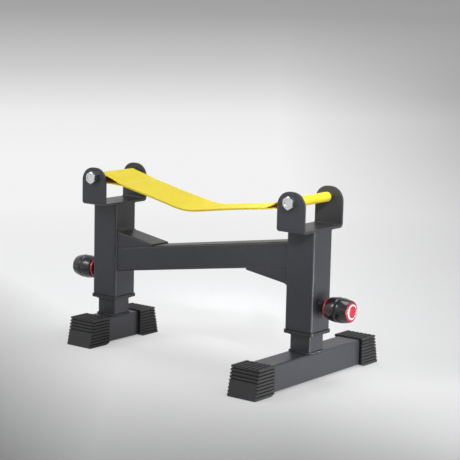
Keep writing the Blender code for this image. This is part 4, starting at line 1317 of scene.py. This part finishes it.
def make_ring():
    """The collar widens a little towards the grip, and its outer edge is round."""
    length = ring_high.x - ring_low.x
    rim = (ring_high.z - ring_low.z) / 2
    corner = arc((RING_EDGE, rim - RING_EDGE * 1.3), RING_EDGE, 180, 95, 5)
    profile = [(0, RING_BORE_RADIUS), *corner, (length - RING_EDGE / 2, rim),
               (length, rim - RING_EDGE / 3), (length, RING_BORE_RADIUS), (0, RING_BORE_RADIUS)]
    return smooth(turn_knob_part("right_collar", profile))


def make_disc():
    """A shallow dome with a rounded edge, seated in the rim of the grip."""
    rim = (disc_high.z - disc_low.z) / 2
    back = disc_low.x - knob_face
    dome_start = disc_high.x - knob_face - DISC_DOME
    profile = [(back, 0), (back, rim), (dome_start - DISC_EDGE, rim)]
    for step in range(DOME_STEPS + 1):
        radius = rim * (1 - step / DOME_STEPS)
        rise = DISC_DOME * (1 - (radius / rim) ** 2)
        profile.append((dome_start + rise, radius - DISC_EDGE * (radius / rim) ** 8))
    return smooth(turn_knob_part("right_disc", profile))


place_pair(make_ring(), "right_knob", "red", gloss_red, "right_knob_ring")
place_pair(make_disc(), "right_knob", "red", disc_red, "right_knob_disc")

# %% [markdown]
# Weld beads are what tells a welded frame from a glued one. A bead is a row of overlapping
# ripples: a line of points along the seam, turned into a curve with a round bevel whose radius
# swells and shrinks, and made a mesh again. Paint goes over it with the rest.

# %% Weld beads
BEAD_STEP = 0.7 * MM
RIPPLE_PITCH = 2.1 * MM
RIPPLE_SHARE = 0.16
SWAY_SHARE = 0.05
SWAY_PACES = (0.37, 0.113)
BEAD_CORNER_SHARE = 0.6


def stations(points, closed):
    """Points a bead step apart along straight runs."""
    line = []
    for start, end in zip(points, points[1:] + (points[:1] if closed else [])):
        count = max(1, round((end - start).length / BEAD_STEP))
        line += [start.lerp(end, index / count) for index in range(count)]
    return line if closed else line + points[-1:]


def weld_bead(name, body, points, radius, closed=False):
    bead = trace(name, stations([Vector(point) for point in points], closed), closed)
    only(bead)
    bpy.ops.object.convert(target="CURVE")
    curve = bead.data
    curve.bevel_depth = radius
    curve.bevel_resolution = 3
    curve.use_fill_caps = True
    ripple = 2 * math.pi * BEAD_STEP / RIPPLE_PITCH
    for index, point in enumerate(curve.splines[0].points):
        sway = sum(0.5 * math.sin(index * pace) for pace in SWAY_PACES)
        point.radius = 1 + RIPPLE_SHARE * math.sin(index * ripple + sway) + SWAY_SHARE * sway
    bpy.ops.object.convert(target="MESH")
    with picked(bead, "VERT", everything):
        clean()
    smooth(bead, angle=60)
    return place(bead, body, "frame_paint", thick_coat)


def square_loop(sign, half, corner, z):
    """A square with cut-off corners, round the post and the leg of one side."""
    a = half
    b = half - corner * BEAD_CORNER_SHARE
    loop = [(b, -a), (a, -b), (a, b), (b, a), (-b, a), (-a, b), (-a, -b), (-b, -a)]
    return [(sign * post_x + x, y, z) for x, y in loop]


print("Points along a bead are", BEAD_STEP / MM, "mm apart")

# %% [markdown]
# Three closed beads go round on each side: the leg on its foot, the bracket on its post, and
# the plunger's nut on the post's outer wall.

# %% Beads at the legs, the brackets and the plungers
LEG_BEAD = 2.3 * MM
LEG_BEAD_OUT = 0.5 * MM
LEG_BEAD_LIFT = 0.6 * MM
SEAM_BEAD = 1.1 * MM
BRACKET_BEAD_SINK = 0.4 * MM
NUT_BEAD = 1.3 * MM
NUT_BEAD_OUT = 0.4 * MM
NUT_BEAD_SHARE = 1.04
NUT_BEAD_POINTS = 60
last_angle = 360 - 360 / NUT_BEAD_POINTS
post_low, post_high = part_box("right_upright_tube")
post_half = (post_high.x - post_low.x) / 2
foot_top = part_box("right_foot_tube")[1].z
for side, sign in SIDES.items():
    loop = square_loop(sign, leg_half + LEG_BEAD_OUT, LEG_CORNER, foot_top + LEG_BEAD_LIFT)
    weld_bead(side + "_leg_weld", side + "_leg", loop, LEG_BEAD, closed=True)
    loop = square_loop(sign, post_half - BRACKET_BEAD_SINK, POST_CORNER, post_high.z)
    weld_bead(side + "_bracket_weld", "frame", loop, SEAM_BEAD, closed=True)
    nut_low, nut_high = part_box(side + "_weld_nut")
    nut_radius = (nut_high.y - nut_low.y) / 2 * NUT_BEAD_SHARE
    nut_x = sign * (post_x + post_half + NUT_BEAD_OUT)
    circle = arc((0, PLUNGER_HEIGHT), nut_radius, 0, last_angle, NUT_BEAD_POINTS - 1)
    loop = [(nut_x, y, z) for y, z in circle]
    weld_bead(side + "_nut_weld", "frame", loop, NUT_BEAD, closed=True)

# %% [markdown]
# The crossbar is welded all round at both ends. Each gusset has a seam up the post and one
# along the crossbar, near and far, and one across its tip.

# %% Beads at the crossbar and the gussets
BAR_BEAD = 1.3 * MM
BAR_BEAD_SINK = 0.7 * MM
POST_SINK = 0.3 * MM
TIP_INSET = 3 * MM
FACE_INSET = 0.5 * MM
FOOT_BEADS = {"left": 1.2 * MM, "right": 2.0 * MM}
BEAD_SINK = 1.0 * MM
BEAD_INSET = 0.955
bar_half = bar_high.y
for side, sign in SIDES.items():
    seam_x = sign * (post_x - post_half - POST_SINK)
    lowest = bar_low.z if side == "left" else bar_high.z - plumb_height
    y = bar_half - BAR_BEAD_SINK
    bottom = lowest + BAR_BEAD_SINK
    top = lowest + plumb_height - BAR_BEAD_SINK
    loop = [(seam_x, -y, bottom), (seam_x, y, bottom), (seam_x, y, top), (seam_x, -y, top)]
    weld_bead(side + "_bar_weld", "frame", loop, BAR_BEAD, closed=True)
    low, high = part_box(side + "_gusset")
    out = -sign
    tip_x = seam_x + out * (high.x - low.x)
    bar_face = bar_face_at(side)
    tip_z = bar_face + bar_slope * (tip_x - seam_x)
    tip_y = bar_half - TIP_INSET
    tip = [(tip_x, -tip_y, tip_z), (tip_x, tip_y, tip_z)]
    weld_bead(side + "_gusset_tip_weld", "frame", tip, BAR_BEAD)
    root_z = bar_face - out * BEAD_SINK
    foot_z = root_z + bar_slope * (tip_x - seam_x)
    for face, across in (("near", FACE_INSET - bar_half), ("far", bar_half - FACE_INSET)):
        seam = [(seam_x, across, bar_face), (seam_x, across, bar_face + out * GUSSET_ROOT)]
        weld_bead(f"{side}_gusset_{face}_weld", "frame", seam, SEAM_BEAD)
        foot = [(seam_x, across * BEAD_INSET, root_z), (tip_x, across * BEAD_INSET, foot_z)]
        weld_bead(f"{side}_gusset_{face}_foot_weld", "frame", foot, FOOT_BEADS[side])

# %% [markdown]
# The strap is one loop of webbing. It goes round both bolts, and the two runs between are
# laid on each other and sewn together close to each eye. Under its load it hangs in a wide bend
# between two straight runs, so its middle line is drawn from just that, not as a chain's curve.

# %% The strap's two layers
LAYER = 1.7 * MM
LAYER_OFFSET = 0.95 * MM
EYE_RADIUS = 8.25 * MM
SEAM_REACH = 63.6 * MM
LOW_X = -15 * MM
SAG = 42.8 * MM
SEAM_DROPS = {"left": 9.3 * MM, "right": 17.5 * MM}
SADDLE_RADIUS = 160 * MM
RUN_STEPS = 40


def strap_middle():
    """Middle line of the doubled strap as (x, z, slope angle), from seam to seam."""
    left = Vector((-post_x + SEAM_REACH, BOLT_HEIGHT - SEAM_DROPS["left"]))
    right = Vector((post_x - SEAM_REACH, BOLT_HEIGHT - SEAM_DROPS["right"]))
    lowest = Vector((LOW_X, BOLT_HEIGHT - SAG))
    down = math.atan2(lowest.y - left.y, lowest.x - left.x)
    up = math.atan2(right.y - lowest.y, right.x - lowest.x)
    run = SADDLE_RADIUS * math.tan((up - down) / 2)
    start = lowest - run * Vector((math.cos(down), math.sin(down)))
    centre = start + SADDLE_RADIUS * Vector((-math.sin(down), math.cos(down)))
    line = [(*left.lerp(start, step / RUN_STEPS), down) for step in range(RUN_STEPS)]
    for step in range(RUN_STEPS + 1):
        angle = down + (up - down) * step / RUN_STEPS
        x = centre.x + SADDLE_RADIUS * math.sin(angle)
        line.append((x, centre.y - SADDLE_RADIUS * math.cos(angle), angle))
    end = Vector(line[-1][:2])
    for step in range(1, RUN_STEPS + 1):
        line.append((*end.lerp(right, step / RUN_STEPS), up))
    return line


def layer_line(offset):
    """One layer of the doubled strap, to the side of its middle line."""
    middle = strap_middle()
    return [Vector((x - offset * math.sin(a), z + offset * math.cos(a))) for x, z, a in middle]


upper = layer_line(LAYER_OFFSET)
lower = layer_line(-LAYER_OFFSET)
print("Points along each layer:", len(upper))

# %% [markdown]
# At each bolt the two layers part and close round it in an eye, which they leave along its
# tangents. Eyes and layers together are one closed route. Its length is the webbing's real cut
# length, and a table of the length at each point lets the strip be laid along it later.

# %% The strap's route
EYE_STEPS = 48


def touch_angle(centre, point, turn_sign):
    """Angle on the eye's circle where a line from a point outside touches it."""
    away = point - centre
    return math.atan2(away.y, away.x) + turn_sign * math.acos(EYE_RADIUS / away.length)


def eye_line(side, upper, lower):
    """Arc round the bolt, from the upper layer to the lower one, and at the right back up."""
    sign = SIDES[side]
    centre = Vector((sign * post_x, BOLT_HEIGHT))
    first = touch_angle(centre, upper, -sign)
    last = touch_angle(centre, lower, sign)
    if side == "right":
        first, last = last, first
    while last < first:
        last += 2 * math.pi
    angles = [first + (last - first) * step / EYE_STEPS for step in range(EYE_STEPS + 1)]
    return [centre + EYE_RADIUS * Vector((math.cos(a), math.sin(a))) for a in angles]


left_eye = eye_line("left", upper[0], lower[0])
right_eye = eye_line("right", upper[-1], lower[-1])
route = [*left_eye, *lower, *right_eye, *upper[::-1], left_eye[0]]
route_lengths = [0.0]
for before, after in zip(route, route[1:]):
    route_lengths.append(route_lengths[-1] + (after - before).length)
STRAP_LENGTH = route_lengths[-1]
seam_length = (left_eye[0] - upper[0]).length
right_eye_end = route_lengths[len(left_eye) + len(lower) + len(right_eye) - 1]
SLACK_RUNS = {"left": STRAP_LENGTH - seam_length, "right": right_eye_end}
print("Webbing's length and width in mm:", [round(x / MM, 1) for x in (STRAP_LENGTH, STRAP_WIDTH)])

# %% [markdown]
# The strap is made as it is sewn: a flat strip with its UV map, laid along the route by the
# length along it, so that the weave keeps its scale everywhere. Webbing never lies quite flat.
# Between each eye and its seam the upper layer has some slack, which stands up along the near
# edge. A slow wave also lifts the edges by a few tenths of a millimetre, and fades out where
# the strap is sewn or bears on a bolt.

# %% Lay the strip along its route
STRIP_STEPS = 620
STRIP_COLUMNS = 22
WAVE_HEIGHT = 0.5 * MM
WAVE_PACE = 31
WAVE_SKEW = 1.7
WEBBING_EDGE_RADIUS = 0.45 * MM
WEBBING_SHARP_ANGLE = 50
BULGES = {"left": 3.2 * MM, "right": 2.4 * MM}
FAR_BULGE_SHARE = 0.1


def at_length(length):
    """Point on the route at a length along it, and the way it runs there."""
    low = min(bisect_right(route_lengths, length), len(route) - 1) - 1
    run = route[low + 1] - route[low]
    share = (length - route_lengths[low]) / (route_lengths[low + 1] - route_lengths[low])
    return route[low].lerp(route[low + 1], share), run.normalized()


def slack(length, across):
    """How far the upper layer stands off between a seam and its eye."""
    near_share = FAR_BULGE_SHARE + (1 - FAR_BULGE_SHARE) * (1 - across) / 2
    for side, start in SLACK_RUNS.items():
        share = (length - start) / seam_length
        if 0 < share < 1:
            return BULGES[side] * near_share * math.sin(math.pi * share) ** 2
    return 0.0


def make_strap():
    nothing_selected()
    bpy.ops.mesh.primitive_grid_add(
        x_subdivisions=STRIP_STEPS, y_subdivisions=STRIP_COLUMNS, size=1)
    bpy.ops.transform.resize(value=(STRAP_LENGTH, STRAP_WIDTH, 1))
    strap = settled("strap_webbing")
    for corner in strap.data.uv_layers.active.data:
        corner.uv = (corner.uv[0] * STRAP_LENGTH, corner.uv[1] * STRAP_WIDTH)
    for vertex in strap.data.vertices:
        length = min(max(vertex.co.x + STRAP_LENGTH / 2, 0.0), STRAP_LENGTH)
        point, way = at_length(length)
        across = vertex.co.y / (STRAP_WIDTH / 2)
        free = min(1.0, max(0.0, (abs(abs(point.x) - post_x) - 2 * EYE_RADIUS) / SEAM_REACH))
        wave = math.sin(point.x * WAVE_PACE + across * WAVE_SKEW)
        lift = WAVE_HEIGHT * free * across ** 2 * wave
        lift += slack(length, across)
        vertex.co = (point.x - lift * abs(way.y), vertex.co.y, point.y + lift * abs(way.x))
    with picked(strap, "VERT", everything):
        clean()
    give_wall(strap, LAYER, offset=0)
    return soften(strap, WEBBING_EDGE_RADIUS, angle=WEBBING_SHARP_ANGLE)


strap = make_strap()
place(strap, "frame", "webbing", webbing, "lifting_strap")

# %% [markdown]
# Two rows of lock stitch close each eye. One stitch is a small flattened capsule. It is
# repeated across the width with an Array modifier, on both faces of the doubled strap.

# %% Stitch rows
STITCH_RADIUS = 0.8 * MM
STITCH_LENGTH = 3.4 * MM
STITCH_PITCH = 3.9 * MM
STITCH_MARGIN = 4.5 * MM
STITCH_PROUD = 0.1 * MM
STITCH_SHAPE = (1.1, STITCH_LENGTH / STITCH_RADIUS / 2, 0.7)
ROW_PLACES = (0.6 * MM, 2.7 * MM)
stitch_count = int((STRAP_WIDTH - 2 * STITCH_MARGIN) / STITCH_PITCH) + 1


def stitch_row(point, slope, face):
    """One row across the strap, sunk a little into its upper or lower face."""
    normal = Vector((-math.sin(slope), 0, math.cos(slope)))
    stand = LAYER_OFFSET + LAYER / 2 + STITCH_PROUD
    near = -(stitch_count - 1) * STITCH_PITCH / 2
    first = Vector((point[0], near, point[1])) + normal * stand * face
    nothing_selected()
    bpy.ops.mesh.primitive_uv_sphere_add(
        segments=8, ring_count=6, radius=STITCH_RADIUS, location=first)
    bpy.ops.transform.resize(value=STITCH_SHAPE)
    return repeat(settled("stitch_row"), stitch_count, (0, STITCH_PITCH, 0))


middle_line = strap_middle()
for side in SIDES:
    x, z, slope = middle_line[0] if side == "left" else middle_line[-1]
    way = Vector((math.cos(slope), math.sin(slope))) * (1 if side == "left" else -1)
    places = [Vector((x, z)) + way * reach for reach in ROW_PLACES]
    rows = [stitch_row(point, slope, face) for point in places for face in (-1, 1)]
    only(rows[0])
    for row in rows[1:]:
        row.select_set(True)
    bpy.ops.object.join()
    piece = settled(side + "_seam_stitches")
    smooth(piece, angle=80)
    place(piece, "frame", "webbing", thread)

# %% [markdown]
# The plunger's pin, its spring and the glide on top of the leg are hidden inside the part.
# Their CAD solids are right as they are, and only get a real finish.

# %% Finishes for the CAD nodes that stay
for side in SIDES:
    for node, finish in (("_plunger_pin", zinc), ("_plunger_spring", zinc), ("_leg_glide", nylon)):
        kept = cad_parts[side + node]
        coat(kept, finish)
        print("Kept CAD node", kept.name, "in", finish.name)

# %% [markdown]
# The stage is a round studio sweep: a floor that curves up into a wall. Light and shade are
# painted on it: it is pale in the middle and falls off towards its far rim and the near side,
# like a paper roll in front of one soft lamp. Near the part the floor is a plain matt surface,
# so that it takes the shadow. Further out it glows for the rays that look at it, and adds no
# light. It is cut in two halves between the posts. Each half stays under the foot on its side,
# so when one leg is let out its half stands lower, and a riser along the cut shows.

# %% Studio sweep
FLOOR_RADIUS = 3.5
SWEEP_RADIUS = 1.0
WALL_TOP = 3.2
sweep_profile = [(0.0, 0.0), (0.0, FLOOR_RADIUS)]
sweep_profile += [(z, r) for r, z in arc((FLOOR_RADIUS, SWEEP_RADIUS), SWEEP_RADIUS, -90, 0, 16)]
sweep_profile.append((WALL_TOP, FLOOR_RADIUS + SWEEP_RADIUS))
RISER = 0.12


def along_cut(start, end):
    """A test for the floor edges that the cut leaves."""
    return max(abs(start.x), abs(end.x), abs(start.z), abs(end.z)) < MM


def half_sweep(side):
    half = lathe(side + "_studio_sweep", sweep_profile, (0, 0, 0), Z, FINE_STEPS)
    with picked(half, "FACE", everything):
        bpy.ops.mesh.normals_make_consistent(inside=True)
        bpy.ops.mesh.bisect(plane_co=(0, 0, 0), plane_no=(SIDES[side], 0, 0), clear_inner=True)
    with picked(half, "EDGE", along_cut):
        pull((0, 0, -RISER))
    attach(half, side + "_leg")
    return smooth(half, angle=60)


sweeps = [half_sweep(side) for side in SIDES]
print("Flat floor out to", FLOOR_RADIUS, "m, wall at", FLOOR_RADIUS + SWEEP_RADIUS, "m")

# %% [markdown]
# The camera stands where the picture was taken from. Its place, turn and lens were solved from
# edges of the part, so that a render lies over the picture.

# %% Camera
CAMERA_PLACE = Vector((1.845622, -2.339598, 0.734017))
CAMERA_YAW = math.radians(37.44006)
CAMERA_PITCH = math.radians(9.21572)
CAMERA_ROLL = math.radians(1.28279)
CAMERA_LENS = 123.499
CAMERA_SENSOR = 36
CAMERA_CLIP = (0.05, 100)
turn = Matrix.Rotation(CAMERA_YAW, 3, "Z") @ Matrix.Rotation(math.pi / 2 - CAMERA_PITCH, 3, "X")
turn = turn @ Matrix.Rotation(CAMERA_ROLL, 3, "Z")
nothing_selected()
bpy.ops.object.camera_add(location=CAMERA_PLACE, rotation=turn.to_euler())
camera = bpy.context.object
camera.data.lens = CAMERA_LENS
camera.data.sensor_width = CAMERA_SENSOR
camera.data.clip_start, camera.data.clip_end = CAMERA_CLIP
bpy.context.scene.camera = camera
print("Camera distance in m:", round(CAMERA_PLACE.length, 3))

# %% [markdown]
# The floor's brightness is painted by place: painted light and shade. One slope runs over it
# from the dark near left to the bright middle, another falls off to the far right, the wall
# darkens with height, and a bay in front of the part is painted darker. Out of the lens's view,
# at the left and high on the wall, the paper glows bright again, and paint and metal reflect it.

# %% The floor's brightness
PALE = 0.89
WALL_STOPS = [(0.0, 1.0), (0.12, 0.95), (0.3, 0.69), (0.55, 0.43), (0.67, 0.38), (0.78, 0.98)]
NEAR_SLOPE = 0.6
ACROSS_SLOPE = 0.26
LEFT_SLOPE = 1.0
NEAR_SHADE = 0.26
LEFT_START = 0.16
MIDDLE_BRIGHTNESS = 0.874
DARKEST = 0.26
BAY_LEFT = (-0.3, 0.25)
BAY_RIGHT = (0.15, 0.4)
BAY_DEPTH = (-0.15, -0.65)
LEFT_PAINTED_GLOW = (-0.55, -1.1)
RIGHT_FALL = (0.25, 1.2)
RIGHT_DARKEST = 0.52
RIGHT_PAINTED_GLOW = (2.4, 3.2)
WALL_PAINTED_GLOW = (0.22, 0.6)
WALL_PAINTED_GLOW_SHARE = 0.85
view_way = Vector((-math.sin(CAMERA_YAW), math.cos(CAMERA_YAW), 0))
right_way = Vector((math.cos(CAMERA_YAW), math.sin(CAMERA_YAW), 0))


def lifted(value, share):
    """Bring a brightness up towards full by a share."""
    return value + (1 - value) * share


def floor_brightness(finish, here):
    """The paper's brightness, from how deep, how far across and how high a place is."""
    depth, across, height = (
        finish.measured("DOT_PRODUCT", here, way) for way in (view_way, right_way, AXES[Z]))
    left = finish.spread(across, -LEFT_START, -LEFT_START - 1)
    slope = depth * NEAR_SLOPE + across * ACROSS_SLOPE - left * LEFT_SLOPE
    dark = DARKEST - MIDDLE_BRIGHTNESS
    near = finish.spread(slope, dark, PALE - MIDDLE_BRIGHTNESS, DARKEST / PALE, 1.0)
    # Painted shade: a bay of floor in front of the part is darkened towards the lens.
    bay = finish.spread(across, *BAY_LEFT) * finish.spread(across, *BAY_RIGHT, 1.0, 0.0)
    near = near * (1 - bay * finish.spread(depth, *BAY_DEPTH, 0.0, NEAR_SHADE))
    # Painted glow: out of view at the left, the far right and high on the wall the paper turns
    # bright.
    near = lifted(near, finish.spread(across, *LEFT_PAINTED_GLOW))
    side = finish.spread(across, *RIGHT_FALL, 1.0, RIGHT_DARKEST)
    side = lifted(side, finish.spread(across, *RIGHT_PAINTED_GLOW))
    side = lifted(side, finish.spread(height, *WALL_PAINTED_GLOW, 0.0, WALL_PAINTED_GLOW_SHARE))
    wall = finish.node("ShaderNodeValToRGB", {"stops": WALL_STOPS}, (height,))
    return near * side * wall * PALE


print("Brightness on the wall at each height:", WALL_STOPS)

# %% [markdown]
# To the lens and in reflections the paper is half light of its own, and further out all of it,
# so that it keeps the brightness that its place gives. Close to the feet its matt half still
# takes their shadows. The paper lights nothing by itself: for other rays it is only matt.

# %% Floor finish
SHADOW_SHARE = 0.5
GLOW_RANGE = (0.6, 2.0)
BLUE_SHARE = 1.005


def make_floor():
    finish = Finish("studio_paper")
    finish.tree.nodes.remove(finish.shader)
    here = finish.place()
    grey = floor_brightness(finish, here)
    colour = finish.node("ShaderNodeCombineColor", inputs=(grey, grey, grey * BLUE_SHARE))
    ray = finish.node("ShaderNodeLightPath", output="Is Camera Ray")
    seen = ray + ray.sibling("Is Glossy Ray") + ray.sibling("Is Transmission Ray")
    distance = finish.measured("LENGTH", here)
    glow = finish.spread(distance, *GLOW_RANGE, 1 - SHADOW_SHARE, 1.0) * seen
    matt = finish.node("ShaderNodeBsdfDiffuse", inputs={"Color": colour})
    light = finish.node("ShaderNodeEmission", inputs={"Color": colour, "Strength": 1.0})
    mixed = finish.node("ShaderNodeMixShader", inputs=(glow, matt, light))
    finish.tree.links.new(mixed.output, finish.tree.nodes["Material Output"].inputs["Surface"])
    return finish.material


paper = make_floor()
for half in sweeps:
    coat(half, paper)
    print(half.name, "in", paper.name)

# %% [markdown]
# Two big soft boxes and a pale sky light all of it: the key stands high at the front left, and
# a top box brings out the upper edges. Two small boxes with narrow beams do what cards do in a
# studio: they fill the right foot's side and the strap's right eye.
# They are set so that a plain white card at the part would come out just white.

# %% Lights
PART_MIDDLE = Vector((0, 0, 0.18))
RIGHT_FOOT = Vector((post_x, 0, 0.05))
RIGHT_EYE = Vector((post_x, 0, BOLT_HEIGHT + 0.02))
SKY_COLOUR = (0.96, 0.98, 1.0, 1.0)
SKY_STRENGTH = 0.55


def soft_box(name, place_at, size, power, target=PART_MIDDLE, spread=180):
    place_at = Vector(place_at)
    aim = (target - place_at).to_track_quat("-Z", "Y").to_euler()
    nothing_selected()
    bpy.ops.object.light_add(type="AREA", location=place_at, rotation=aim)
    lamp = bpy.context.object
    lamp.name = name
    lamp.data.shape = "RECTANGLE"
    lamp.data.size, lamp.data.size_y = size
    lamp.data.energy = power
    lamp.data.spread = math.radians(spread)
    return lamp


soft_box("key_box", (-1.5, -2.1, 2.1), (1.0, 1.0), 22)
soft_box("top_box", (0.3, 0.2, 2.6), (1.6, 1.6), 31)
soft_box("foot_box", (0.95, 0.03, 0.07), (0.5, 0.14), 0.8, target=RIGHT_FOOT, spread=60)
soft_box("eye_box", (0.95, -0.6, 0.95), (0.2, 0.2), 0.13, target=RIGHT_EYE, spread=12)

sky = bpy.data.worlds.new("pale_sky")
sky.use_nodes = True
background = sky.node_tree.nodes["Background"]
background.inputs["Color"].default_value = SKY_COLOUR
background.inputs["Strength"].default_value = SKY_STRENGTH
bpy.context.scene.world = sky
bpy.context.scene.view_settings.view_transform = "Standard"
